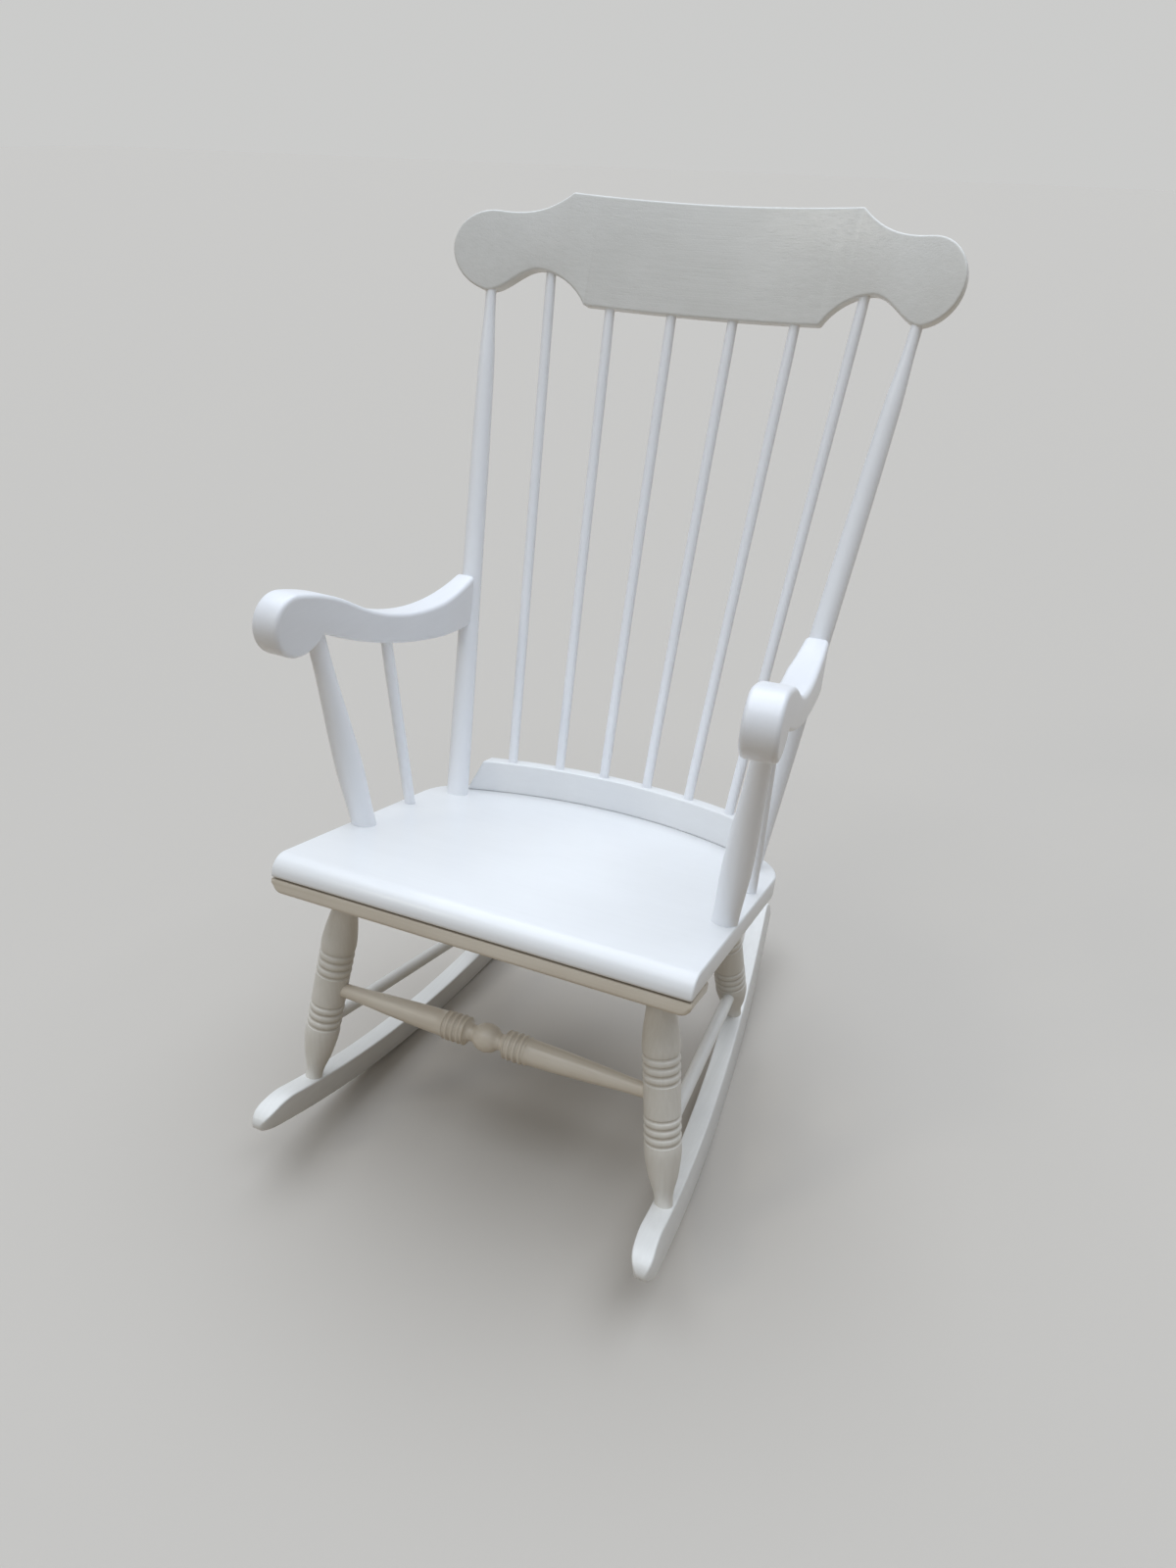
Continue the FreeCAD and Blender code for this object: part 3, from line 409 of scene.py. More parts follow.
# %% Painting a piece and copying it to the other side
def hand_over(piece, node, paint):
    """Paint the piece and let it stand for its CAD node."""
    piece.data.materials.clear()
    piece.data.materials.append(paint)
    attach(piece, "root")
    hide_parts(node)


def hand_over_pair(right, node, paint):
    """Hand over a right piece and its mirrored copy, which has its own mesh with faces turned out."""
    take_up(right)
    bpy.ops.object.duplicate()
    left = bpy.context.object
    left.name = left.data.name = right.name.replace("_right", "_left")
    settle(left, Matrix.Scale(-1, 4, (1, 0, 0)))
    bpy.ops.object.mode_set(mode="EDIT")
    clean_up()
    hand_over(right, f"{node}_right", paint)
    hand_over(left, f"{node}_left", paint)


# %% [markdown]
# ## Turned pieces
# A turner's pattern is a list of radii along the stick. Spinning that line round its own axis gives
# the finished stick with even loops, which a Screw modifier could do as well, but spin leaves a plain
# mesh at once. The line is drawn along Z from the foot, spun, and the stick is then stood between
# its two ends.

# %% The lathe
LATHE_SIDES, TURNED_CREASE = 40, 50
DUST_AND_SHADE_REACH, DUST_AND_SHADE_DEPTH = 6.0, 2.0


# How deep a point lies in a groove sets how much dust and painted shade the paint gets there.
def mark_grooves(piece, pattern):
    """Write how deep each point lies under the widest radius close to it, as the groove attribute."""
    marks = piece.data.attributes.new("groove", "FLOAT", "POINT")
    for point, mark in zip(piece.data.vertices, marks.data):
        distance = point.co.z / MM
        radius = math.hypot(point.co.x, point.co.y) / MM
        below = max((r for z, r in pattern if 0 < distance - z < DUST_AND_SHADE_REACH), default=radius)
        above = max((r for z, r in pattern if 0 < z - distance < DUST_AND_SHADE_REACH), default=radius)
        mark.value = min(max((min(below, above) - radius) / DUST_AND_SHADE_DEPTH, 0.0), 1.0)


def turned(name, foot, top, pattern):
    """A stick from foot to top, in millimetres, spun from (distance from foot, radius) places."""
    piece = start_piece(name)
    closed = [(pattern[0][0], 0.0)] + pattern + [(pattern[-1][0], 0.0)]
    draw_line([(radius, 0, distance) for distance, radius in closed])
    bpy.ops.mesh.select_all(action="SELECT")
    bpy.ops.mesh.spin(steps=LATHE_SIDES, angle=math.tau, center=(0, 0, 0), axis=(0, 0, 1))
    clean_up()
    mark_grooves(piece, pattern)
    shade(piece, TURNED_CREASE)
    axis = (top - foot).to_track_quat("Z", "Y").to_matrix().to_4x4()
    settle(piece, Matrix.Translation(foot * MM) @ axis)
    return piece


print("a turned piece has", LATHE_SIDES, "sides")

# %% Rings and tenons
GROOVE_HALF_WIDTH, GROOVE_DEPTH, BEAD_DROP = 2.4, 2.0, 0.6
GROOVE_SHARES, BEAD_SHARES = (-1.0, -0.85, -0.5, 0.0, 0.5, 0.85, 1.0), (-0.6, 0.0, 0.6)
RING_COUNT, RING_MARGIN = 4, 6.0
INTO_JOINT = 9.0


def ring_row(first, pitch, radius):
    """A row of round grooves with beads between them."""
    places = []
    lip = radius - BEAD_DROP
    cut = GROOVE_DEPTH - BEAD_DROP
    for index in range(RING_COUNT):
        middle = first + index * pitch
        for share in GROOVE_SHARES:
            depth = cut * math.sqrt(1 - share * share)
            places.append((middle + share * GROOVE_HALF_WIDTH, lip - depth))
        if index < RING_COUNT - 1:
            half = pitch / 2 - GROOVE_HALF_WIDTH
            for share in BEAD_SHARES:
                places.append((middle + pitch / 2 + share * half, radius - BEAD_DROP * share * share))
    return places


def with_tenons(run, length):
    """A run of radii, carried on into the joints below its foot and past its length."""
    return [(-INTO_JOINT, run[0][1])] + run + [(length + INTO_JOINT, run[-1][1])]


print("grooves:", 2 * GROOVE_HALF_WIDTH, "mm wide and", GROOVE_DEPTH, "mm deep")

# %% [markdown]
# ## Legs
# Each leg is thin at the foot, swells to the scored part with its two groups of four rings, and
# necks in under the seat. The rings could be painted lines, but they catch the light, so they are
# turned. Front and rear legs differ only in length, so one pattern is worked out from a leg's two
# ends. The foot reaches a little into the rocker and the neck into the seat, where the joints are.

# %% Where the legs stand
ROCKER_RADIUS, ROCKER_HEIGHT = 1050.0, 40.0
FRONT_FOOT, REAR_FOOT = (243.9, -283.0), (203.5, 112.7)
FRONT_TOP, REAR_TOP = (199.0, 77.0), (179.0, 367.0)


def on_rocker(x, y):
    """The place on top of the rocker's arc at x and y."""
    return Vector((x, y, ROCKER_RADIUS - math.sqrt((ROCKER_RADIUS - ROCKER_HEIGHT) ** 2 - y * y)))


front_foot, rear_foot = on_rocker(*FRONT_FOOT), on_rocker(*REAR_FOOT)
legs = {"front": (front_foot, on_seat(*FRONT_TOP, -SEAT_THICKNESS)),
        "rear": (rear_foot, on_seat(*REAR_TOP, -SEAT_THICKNESS))}
leg_length = {place: (top - foot).length for place, (foot, top) in legs.items()}
print("leg lengths in mm:", {place: round(length) for place, length in leg_length.items()})

# %% Turn the legs
LEG_FOOT, LEG_KNEE, LEG_BODY, LEG_NECK = 10.8, 18.0, 22.0, 14.2
FOOT_STRAIGHT, NECK_STRAIGHT = 6.0, 32.0
RING_PITCH, RING_GROUP_SPACING = 10.7, 77.0


def ring_middle(place):
    """The height up a leg of the plain band between its two ring groups."""
    return (leg_length[place] - NECK_STRAIGHT + FOOT_STRAIGHT) / 2


def leg_pattern(place):
    length, middle = leg_length[place], ring_middle(place)
    half_group = RING_PITCH * (RING_COUNT - 1) / 2
    lower, upper = (ring_row(middle + side * RING_GROUP_SPACING / 2 - half_group, RING_PITCH, LEG_BODY)
                    for side in (-1, 1))
    body_start = (lower[0][0] - RING_MARGIN, LEG_BODY)
    body_end = (upper[-1][0] + RING_MARGIN, LEG_BODY)
    knee = ((FOOT_STRAIGHT + body_start[0]) / 2, LEG_KNEE)
    foot_run = fair_radii([(FOOT_STRAIGHT, LEG_FOOT), knee, body_start], steps=8)
    neck_run = fair_radii([body_end, (length - NECK_STRAIGHT, LEG_NECK)], steps=12)
    return with_tenons(foot_run + lower + upper + neck_run, length)


for place, (foot, top) in legs.items():
    leg = turned(f"turned_leg_{place}_right", foot, top, leg_pattern(place))
    hand_over_pair(leg, f"leg_{place}", paint_leg)
    print(place, "leg:", len(leg.data.polygons), "faces")

# %% [markdown]
# ## Stretchers
# The front stretcher is the show piece under the seat: a ball between two coves in the middle, a
# row of rings on each side, and long tapers into the legs. It could be drawn from end to end, but
# its pattern is the same both ways, so one half is drawn and mirrored. The side and rear stretchers
# are plain dowels with slightly thinner ends.

# %% Stretchers between a left and a right leg
TENON_SHORT_OF_AXIS = 9.0


def up_leg(place, distance):
    """The place in the room at a distance up the middle of a right leg."""
    foot, top = legs[place]
    return foot + (top - foot).normalized() * distance


def cross_stretcher(place, pattern_of_half):
    """Turn a stretcher between the plain bands of two legs, from the pattern of its half length."""
    end = up_leg(place, ring_middle(place))
    half = end.x - TENON_SHORT_OF_AXIS
    stick = turned(f"turned_{place}_stretcher", Vector((-half, end.y, end.z)),
                   Vector((half, end.y, end.z)), pattern_of_half(half))
    hand_over(stick, f"{place}_stretcher", paint_stretcher)
    print(place, "stretcher:", round(2 * half), "mm long,", len(stick.data.polygons), "faces")


print("middle of the front leg's band:", up_leg("front", ring_middle("front")))

# %% Turn the front stretcher
BALL_RADIUS, BALL_HALF, BALL_STEPS, COVE_RADIUS, COVE_WIDTH = 17.5, 15.0, 8, 10.5, 12.0
STRETCHER_RINGS, STRETCHER_PITCH = 18.0, 7.6
STRETCHER_SWELL, STRETCHER_TAPER, STRETCHER_END = 15.6, 12.7, 9.0
SHOULDER_FROM_END = 13.0


def front_pattern(half_length):
    ball_end = (BALL_HALF, COVE_RADIUS + BEAD_DROP)
    drop = BALL_RADIUS - ball_end[1]
    sphere = (BALL_HALF ** 2 + drop ** 2) / (2 * drop)
    outs = [BALL_HALF * step / BALL_STEPS for step in range(BALL_STEPS)]
    ball = [(out, BALL_RADIUS - sphere + math.sqrt(sphere ** 2 - out ** 2)) for out in outs]
    cove_end = (BALL_HALF + COVE_WIDTH, STRETCHER_RINGS - BEAD_DROP)
    cove_middle = ((ball_end[0] + cove_end[0]) / 2, COVE_RADIUS)
    cove = arc_through(ball_end, cove_middle, cove_end, steps=8)
    first_ring = cove_end[0] + GROOVE_HALF_WIDTH + BEAD_DROP
    rings = ring_row(first_ring, STRETCHER_PITCH, STRETCHER_RINGS)
    swell = (rings[-1][0] + RING_MARGIN / 2, STRETCHER_SWELL)
    shoulder = (half_length - SHOULDER_FROM_END, STRETCHER_END)
    thinning = ((swell[0] + shoulder[0]) / 2, STRETCHER_TAPER)
    taper = fair_radii([swell, thinning, shoulder], steps=8)
    half = ball + cove + rings + taper + [(half_length, STRETCHER_END)]
    return [(half_length - z, r) for z, r in reversed(half)] + [(half_length + z, r) for z, r in half[1:]]


cross_stretcher("front", front_pattern)

# %% Turn the plain stretchers
DOWEL_RADIUS, DOWEL_END, LONGEST_TAPER = 8.7, 8.1, 60.0
SIDE_UP_FRONT_LEG, SIDE_UP_REAR_LEG = 84.0, 45.0


def dowel_pattern(length, radius, end_radius):
    """A straight stick that thins a little toward each end, over a third of it at most."""
    taper = min(LONGEST_TAPER, length / 3)
    end = fair_radii([(0.0, end_radius), (taper, radius)], steps=5)
    return end + [(length - z, r) for z, r in reversed(end)]


def plain_pattern(half_length):
    return dowel_pattern(2 * half_length, DOWEL_RADIUS, DOWEL_END)


side_front, side_rear = up_leg("front", SIDE_UP_FRONT_LEG), up_leg("rear", SIDE_UP_REAR_LEG)
side_length = (side_rear - side_front).length - 2 * TENON_SHORT_OF_AXIS
short = (side_rear - side_front).normalized() * TENON_SHORT_OF_AXIS
side_stretcher = turned("turned_side_stretcher_right", side_front + short, side_rear - short,
                        plain_pattern(side_length / 2))
hand_over_pair(side_stretcher, "side_stretcher", paint_rocker)
print("side stretcher:", round(side_length), "mm long")
cross_stretcher("rear", plain_pattern)

# %% [markdown]
# ## Back posts, arm supports and spindles
# The two back posts carry the crest. They swell a little at the foot and taper away near the top.
# The arm supports are fatter in the belly than at either end. The spindles fill the back and the
# arms; on the chair they are plain sticks, just a touch thinner where they enter their holes. Plain
# cylinders would do from afar, but the swell is what makes a stick look turned, so all go on the lathe.

# %% Where the back stands
POST_FOOT_AT, POST_TOP_AT = Vector((216.0, 361.0, 0.0)), Vector((284.4, 456.5, 673.0))
RAIL_RADIUS, RAIL_APEX, RAIL_HEIGHT = 440.0, 454.0, 44.0
CREST_RADIUS, CREST_APEX, CREST_LEAN = 800.0, (0.0, 510.0, 667.0), math.radians(5.0)
CREST_COVE, CREST_BOTTOM_HALF = (223.0, 37.4), 160.2
crest_place = seat_place @ Matrix.Translation(CREST_APEX) @ Matrix.Rotation(-CREST_LEAN, 4, "X")


def rail_back(across, offset=0.0):
    """How far back the rail's curve is at a place across the seat."""
    return RAIL_APEX - RAIL_RADIUS + math.sqrt((RAIL_RADIUS + offset) ** 2 - across ** 2)


def crest_bow(across, offset=0.0):
    """How far the crest's curve is from its middle, front to back."""
    return math.sqrt((CREST_RADIUS + offset) ** 2 - across ** 2) - CREST_RADIUS


print("crest bends forward by", round(-crest_bow(CREST_COVE[0])), "mm at its coves")

# %% Turn the back posts
POST_FOOT, POST_ARM, POST_SHOULDER, POST_TIP = 15.0, 13.4, 11.0, 7.1
POST_FOOT_STRAIGHT, POST_TAPER, POST_TIP_STRAIGHT = 15.0, 100.0, 7.1
post_foot, post_top = on_seat(*POST_FOOT_AT), on_seat(*POST_TOP_AT)
length = (post_top - post_foot).length
post_run = fair_radii([(POST_FOOT_STRAIGHT, POST_FOOT), (length / 2, POST_ARM),
                       (length - POST_TAPER, POST_SHOULDER),
                       (length - POST_TIP_STRAIGHT, POST_TIP)], steps=12)
post = turned("turned_back_post_right", post_foot, post_top, with_tenons(post_run, length))
hand_over_pair(post, "back_post", paint_upright)
print("back post:", round(length), "mm long")

# %% Where the arms are
ARM_DIP_UP, ARM_TOE = 265.0, math.radians(6.1)
ARM_OUTSIDE_POST, ARM_BEFORE_POST = 19.1, 8.6
SUPPORT_FOOT_AT, SUPPORT_TOP_AT = (242.3, 164.0, 0.0), Vector((-21.1, -308.3, 248.0))
ARM_SPINDLE_FOOT_AT, ARM_SPINDLE_TOP_AT = (242.0, 275.0, 0.0), Vector((-28.9, -183.0, 226.0))
at_post = POST_FOOT_AT.lerp(POST_TOP_AT, ARM_DIP_UP / POST_TOP_AT.z)
arm_rear = (at_post.x + ARM_OUTSIDE_POST, at_post.y - ARM_BEFORE_POST, 0)
arm_place = seat_place @ Matrix.Translation(arm_rear) @ Matrix.Rotation(ARM_TOE, 4, "Z")
print("rear end of the arm, on the seat:", [round(part, 1) for part in arm_rear])

# %% Turn the arm supports
SUPPORT_FOOT, SUPPORT_BELLY, SUPPORT_TIP = 15.3, 17.0, 11.4
SUPPORT_FOOT_STRAIGHT, SUPPORT_BELLY_AT, SUPPORT_TIP_STRAIGHT = 7.65, 91.0, 15.3
support_foot, support_top = on_seat(*SUPPORT_FOOT_AT), arm_place @ SUPPORT_TOP_AT
length = (support_top - support_foot).length
support_run = fair_radii([(SUPPORT_FOOT_STRAIGHT, SUPPORT_FOOT), (SUPPORT_BELLY_AT, SUPPORT_BELLY),
                          (length - SUPPORT_TIP_STRAIGHT, SUPPORT_TIP)], steps=12)
support = turned("turned_arm_support_right", support_foot, support_top, with_tenons(support_run, length))
hand_over_pair(support, "arm_support", paint_upright)
print("arm support:", round(length), "mm long")

# %% Turn the spindles
SPINDLE_COUNT, SPINDLE_RADIUS, ARM_SPINDLE_RADIUS, SPINDLE_THINNING = 6, 7.0, 7.6, 0.5
LAST_SPINDLE_FOOT, LAST_SPINDLE_TOP = 163.25, 211.5


def spindle(name, foot, top, radius):
    """A spindle between two surfaces, with its ends a little way inside them."""
    along = (top - foot).normalized() * INTO_JOINT
    length = (top - foot).length + 2 * INTO_JOINT
    print(name, "is", round(length), "mm long")
    return turned(name, foot - along, top + along, dowel_pattern(length, radius, radius - SPINDLE_THINNING))


arm_spindle = spindle("turned_arm_spindle_right", on_seat(*ARM_SPINDLE_FOOT_AT),
                      arm_place @ ARM_SPINDLE_TOP_AT, ARM_SPINDLE_RADIUS)
hand_over_pair(arm_spindle, "arm_spindle", paint_upright)
for index in range(SPINDLE_COUNT):
    share = 2 * index / (SPINDLE_COUNT - 1) - 1
    foot_x, top_x = share * LAST_SPINDLE_FOOT, share * LAST_SPINDLE_TOP
    top_up = CREST_COVE[1] if abs(top_x) > CREST_BOTTOM_HALF else 0.0
    foot = on_seat(foot_x, rail_back(foot_x), RAIL_HEIGHT)
    top = crest_place @ Vector((top_x, crest_bow(top_x), top_up))
    stick = spindle(f"turned_back_spindle_{index + 1}", foot, top, SPINDLE_RADIUS)
    hand_over(stick, f"back_spindle_{index + 1}", paint_upright)

# %% [markdown]
# ## Rockers
# A rocker is a curved runner sawn from a board: an arc below, a parallel arc above, a rounded nose
# and a rounded tail. A bent box could stand for it, but its two ends would be wrong, so the outline
# is drawn from the side, filled, and extruded to its thickness. Then the runner leans and turns in
# with the legs, which slides every point sideways by its height and its length, and the nose narrows
# to a round end as on a paddle.

# %% Points along the runner
FRONT_REACH, REAR_REACH, NOSE_RUN = 392.0, 355.0, 62.0
NOSE_TIP, RUNNER_START = (-387.2, 78.8), -382.8
TAIL_ROUND, TAIL_LOWER_ROUND = 24.0, 7.0


def on_runner(radius, y):
    return (y, ROCKER_RADIUS - math.sqrt(radius * radius - y * y))


def heading(radius, y):
    """The direction along the runner at y, toward the rear."""
    return toward(math.asin(y / radius))


def backward(direction):
    return (-direction[0], -direction[1])


top_radius = ROCKER_RADIUS - ROCKER_HEIGHT
tail_turn = math.asin(REAR_REACH / ROCKER_RADIUS)
inward = (-math.sin(tail_turn), math.cos(tail_turn))
runner_start = on_runner(ROCKER_RADIUS, RUNNER_START)
runner_end = on_runner(ROCKER_RADIUS, REAR_REACH - TAIL_LOWER_ROUND)
tail = on_runner(ROCKER_RADIUS, REAR_REACH)
tail_low, tail_high = [(tail[0] + inward[0] * rise, tail[1] + inward[1] * rise)
                       for rise in (TAIL_LOWER_ROUND, ROCKER_HEIGHT - TAIL_ROUND)]
upper_start = on_runner(top_radius, top_radius * math.sin(tail_turn) - TAIL_ROUND)
nose_start = on_runner(top_radius, NOSE_RUN - FRONT_REACH)
print("runner from", runner_start, "to", runner_end)

# %% Draw the rocker and saw it out
ROCKER_THICKNESS = 26.0
DOWN = (0.0, -1.0)


def saw_out(way):
    """Fill the drawn outline and pull it out into a board, by a way in millimetres."""
    bpy.ops.mesh.select_all(action="SELECT")
    bpy.ops.mesh.edge_face_add()
    bpy.ops.mesh.extrude_region_move(TRANSFORM_OT_translate={"value": [part * MM for part in way]})


bottom = arc_through(runner_start, (0.0, 0.0), runner_end, steps=48)
lower_tail = fair_curve(runner_end, heading(ROCKER_RADIUS, runner_end[0]), tail_low, inward, steps=5)
upper_tail = fair_curve(tail_high, inward, upper_start,
                        backward(heading(top_radius, upper_start[0])), steps=8)
upper = arc_through(upper_start, on_runner(top_radius, 0), nose_start, steps=48)
nose = fair_curve(nose_start, backward(heading(top_radius, nose_start[0])), NOSE_TIP, DOWN, steps=14)
chin = fair_curve(NOSE_TIP, DOWN, runner_start, heading(ROCKER_RADIUS, RUNNER_START), steps=5)
outline = bottom + lower_tail[1:] + upper_tail + upper[1:] + nose[1:] + chin[1:-1]
rocker = start_piece("sawn_rocker_right")
draw_line([(0, y, z) for y, z in outline])
saw_out((ROCKER_THICKNESS, 0, 0))
clean_up()
print("rocker outline points:", len(outline))

# %% Soften its edges and slice it
NOSE_SLICES = (-386.9, -386.2, -385, -383, -381, -379, -377, -374)
RUNNER_SLICES = range(-370, 350, 15)


def soften(piece, width, segments, angle):
    """Round the edges sharper than an angle, by a width in millimetres, as thick paint does."""
    bevel = piece.modifiers.new("soft edges", "BEVEL")
    bevel.width = width * MM
    bevel.segments = segments
    bevel.limit_method = "ANGLE"
    bevel.angle_limit = math.radians(angle)
    bevel.use_clamp_overlap = False
    bevel.loop_slide = False
    bpy.ops.object.modifier_apply(modifier=bevel.name)


def slice_across(axis, stations):
    """Cut the whole piece across one axis at stations in millimetres, so that it can bend smoothly."""
    normal = [1.0 if letter == axis else 0.0 for letter in "xyz"]
    bpy.ops.object.mode_set(mode="EDIT")
    for station in stations:
        bpy.ops.mesh.select_all(action="SELECT")
        bpy.ops.mesh.bisect(plane_co=[station * MM * part for part in normal], plane_no=normal)
    clean_up()


soften(rocker, width=2.5, segments=4, angle=50)
slice_across("y", [*NOSE_SLICES, *RUNNER_SLICES])
print("rocker faces after slicing:", len(rocker.data.polygons))

# %% Lean it, turn it in and narrow its nose
ROCKER_CANT = math.radians(7.3)
TIP_NARROWING, TIP_SHARE = 22.0, 0.24
BOARD_CREASE = 35
normal = (rear_foot - front_foot).cross(Vector((-math.tan(ROCKER_CANT), 0, 1))).normalized()
nose_end = min(point.co.y for point in rocker.data.vertices) / MM
for point in rocker.data.vertices:
    y, z = point.co.y / MM, point.co.z / MM
    centre = front_foot.x - (normal.y * (y - front_foot.y) + normal.z * (z - front_foot.z)) / normal.x
    from_tip = min((y - nose_end) / TIP_NARROWING, 1.0)
    fullness = TIP_SHARE + (1 - TIP_SHARE) * math.sqrt(1 - (1 - from_tip) ** 2)
    offset = (point.co.x / MM - ROCKER_THICKNESS / 2) / abs(normal.x)
    point.co.x = (centre + offset * fullness) * MM
bpy.ops.object.mode_set(mode="EDIT")
clean_up()
shade(rocker, BOARD_CREASE)
hand_over_pair(rocker, "rocker", paint_rocker)
print("rocker nose at", round(nose_end, 1), "mm")

# %% [markdown]
# ## The seat and its strip
# The seat is one wide board with straight sides, a back edge on a long curve and a big round along
# the front, where it meets the knees. A strip is fixed under the front edge to make it look thicker,
# with a narrow dark line, a quirk, between the two. One Bevel modifier would round every edge alike,
# so the large rounds are bevelled in edit mode, each with its own size.

# %% Saw the seat
SEAT_HALF, SEAT_REAR_HALF, SEAT_BACK_RADIUS = 261.0, 256.0, 360.0
CORNER_RUN, CORNER_OUT = 38.3, 0.5
STRAIGHT_BACK = (0.0, 1.0)
back_centre = SEAT_DEPTH - SEAT_BACK_RADIUS
side_end = back_centre + math.sqrt(SEAT_BACK_RADIUS ** 2 - SEAT_REAR_HALF ** 2)
side_stop = (SEAT_REAR_HALF + CORNER_OUT, side_end - CORNER_RUN)
start_angle = math.atan2(side_end - back_centre, SEAT_REAR_HALF) + CORNER_RUN / SEAT_BACK_RADIUS
curve_start = (SEAT_BACK_RADIUS * math.cos(start_angle),
               back_centre + SEAT_BACK_RADIUS * math.sin(start_angle))
along_curve = (-math.sin(start_angle), math.cos(start_angle))
corner = fair_curve(side_stop, STRAIGHT_BACK, curve_start, along_curve, steps=10)
back_edge = arc_through(curve_start, (0.0, SEAT_DEPTH), (-curve_start[0], curve_start[1]), steps=36)
right_half = [(SEAT_HALF, 0.0)] + corner
outline = right_half + back_edge[1:-1] + [(-x, y) for x, y in reversed(right_half)]
seat = start_piece("sawn_seat")
draw_line([(x, y, -SEAT_THICKNESS) for x, y in outline])
saw_out((0, 0, SEAT_THICKNESS))
print("seat outline points:", len(outline))

# %% Round the seat's edges
FRONT_ROUND, PLATE_CREASE = 22.0, 30
NEAR, MOSTLY = 0.1 * MM, 0.9


def pick_edges(test):
    """Select just the edges that pass a test of their middle and their direction; says how many."""
    bpy.ops.mesh.select_mode(type="EDGE")
    bpy.ops.mesh.select_all(action="DESELECT")
    mesh = bpy.context.object.data
    picked = 0
    for edge in bmesh.from_edit_mesh(mesh).edges:
        start, end = (corner.co for corner in edge.verts)
        if test((start + end) / 2, (end - start).normalized()):
            edge.select_set(True)
            picked += 1
    bmesh.update_edit_mesh(mesh)
    return picked


def round_edges(radius, segments):
    """Bevel the picked edges by a radius in millimetres."""
    bpy.ops.mesh.bevel(offset=radius * MM, segments=segments, affect="EDGES")


def in_metres(place):
    """A place matrix in millimetres, with its shift turned to metres."""
    return Matrix.Translation(place.translation * MM) @ place.to_3x3().to_4x4()


picked = pick_edges(lambda middle, way: middle.z > -NEAR and middle.y < NEAR and abs(way.x) > MOSTLY)
round_edges(FRONT_ROUND, segments=12)
clean_up()
soften(seat, width=3.0, segments=3, angle=50)
shade(seat, PLATE_CREASE)
settle(seat, in_metres(seat_place))
hand_over(seat, "seat_board", paint_seat)
print("front edges rounded:", picked, "seat faces:", len(seat.data.polygons))

# %% Saw the strip under the front edge
STRIP_SETBACK, STRIP_DEPTH, STRIP_HEIGHT = 2.0, 56.0, 20.0
QUIRK_HEIGHT, QUIRK_DEPTH = 2.0, 5.0
strip_top = -SEAT_THICKNESS
strip_bottom, strip_rear = strip_top - STRIP_HEIGHT, STRIP_SETBACK + STRIP_DEPTH
quirk_bottom, quirk_rear = strip_top - QUIRK_HEIGHT, STRIP_SETBACK + QUIRK_DEPTH
side_view = [(quirk_rear, strip_top), (quirk_rear, quirk_bottom), (STRIP_SETBACK, quirk_bottom),
             (STRIP_SETBACK, strip_bottom), (strip_rear, strip_bottom), (strip_rear, strip_top)]
strip = start_piece("moulded_front_strip")
draw_line([(-SEAT_HALF, y, z) for y, z in side_view])
saw_out((2 * SEAT_HALF, 0, 0))
print("strip:", 2 * SEAT_HALF, "mm long and", STRIP_HEIGHT, "mm high")

# %% Round the strip and paint dust and shade into its quirk
STRIP_END_ROUND, STRIP_LOWER_ROUND, STRIP_ARRIS = 13.0, 5.0, 0.8
UPRIGHT, QUIRK_DUST_AND_SHADE = 0.98, 2.0
front, lower, quirk = STRIP_SETBACK * MM, strip_bottom * MM, quirk_bottom * MM
pick_edges(lambda middle, way: abs(way.y) > MOSTLY and middle.z < lower + NEAR)
round_edges(STRIP_END_ROUND, segments=8)
pick_edges(lambda middle, way: (middle.y < front + NEAR and middle.z < quirk - NEAR
                                and abs(way.z) < UPRIGHT))
round_edges(STRIP_LOWER_ROUND, segments=6)
clean_up()
soften(strip, STRIP_ARRIS, segments=2, angle=50)
# The quirk gets twice the full groove mark, so its paint turns almost wholly to the dust and painted shade
# colour.
dust_and_shade = strip.data.attributes.new("groove", "FLOAT", "POINT")
for point, mark in zip(strip.data.vertices, dust_and_shade.data):
    in_quirk = point.co.z / MM > quirk_bottom - STRIP_ARRIS / 2
    mark.value = QUIRK_DUST_AND_SHADE if in_quirk else 0.0
shade(strip, BOARD_CREASE)
settle(strip, in_metres(seat_place))
hand_over(strip, "front_strip", paint_strip)
print("strip faces:", len(strip.data.polygons))

# %% [markdown]
# ## The curved rail on the seat
# A low rail stands on the back of the seat and holds the feet of the spindles. It follows a long
# curve, and its ends slope. A Simple Deform modifier could bend it, but not to an exact radius at an
# exact place. So it starts as a straight bar that is sliced across its length, and then every point
# is put on the curve.

# %% Bend the rail
RAIL_WIDTH, RAIL_HALF, RAIL_END_SLOPE = 24.0, 214.0, 17.0
RAIL_SLICES = range(-205, 206, 10)


def bend(piece, slices, thickness, curve):
    """Slice a straight board across its length and put every point on a curve seen from above."""
    slice_across("x", slices)
    for point in piece.data.vertices:
        point.co.y = curve(point.co.x / MM, point.co.y / MM - thickness / 2) * MM
    shade(piece, PLATE_CREASE)


rail = start_piece("bent_back_rail")
draw_line([(-RAIL_HALF, 0, 0), (RAIL_HALF, 0, 0), (RAIL_HALF - RAIL_END_SLOPE, 0, RAIL_HEIGHT),
           (RAIL_END_SLOPE - RAIL_HALF, 0, RAIL_HEIGHT)])
saw_out((0, RAIL_WIDTH, 0))
clean_up()
soften(rail, width=2.5, segments=4, angle=40)
bend(rail, RAIL_SLICES, RAIL_WIDTH, rail_back)
settle(rail, in_metres(seat_place))
hand_over(rail, "back_rail", paint_seat)
print("rail faces:", len(rail.data.polygons))

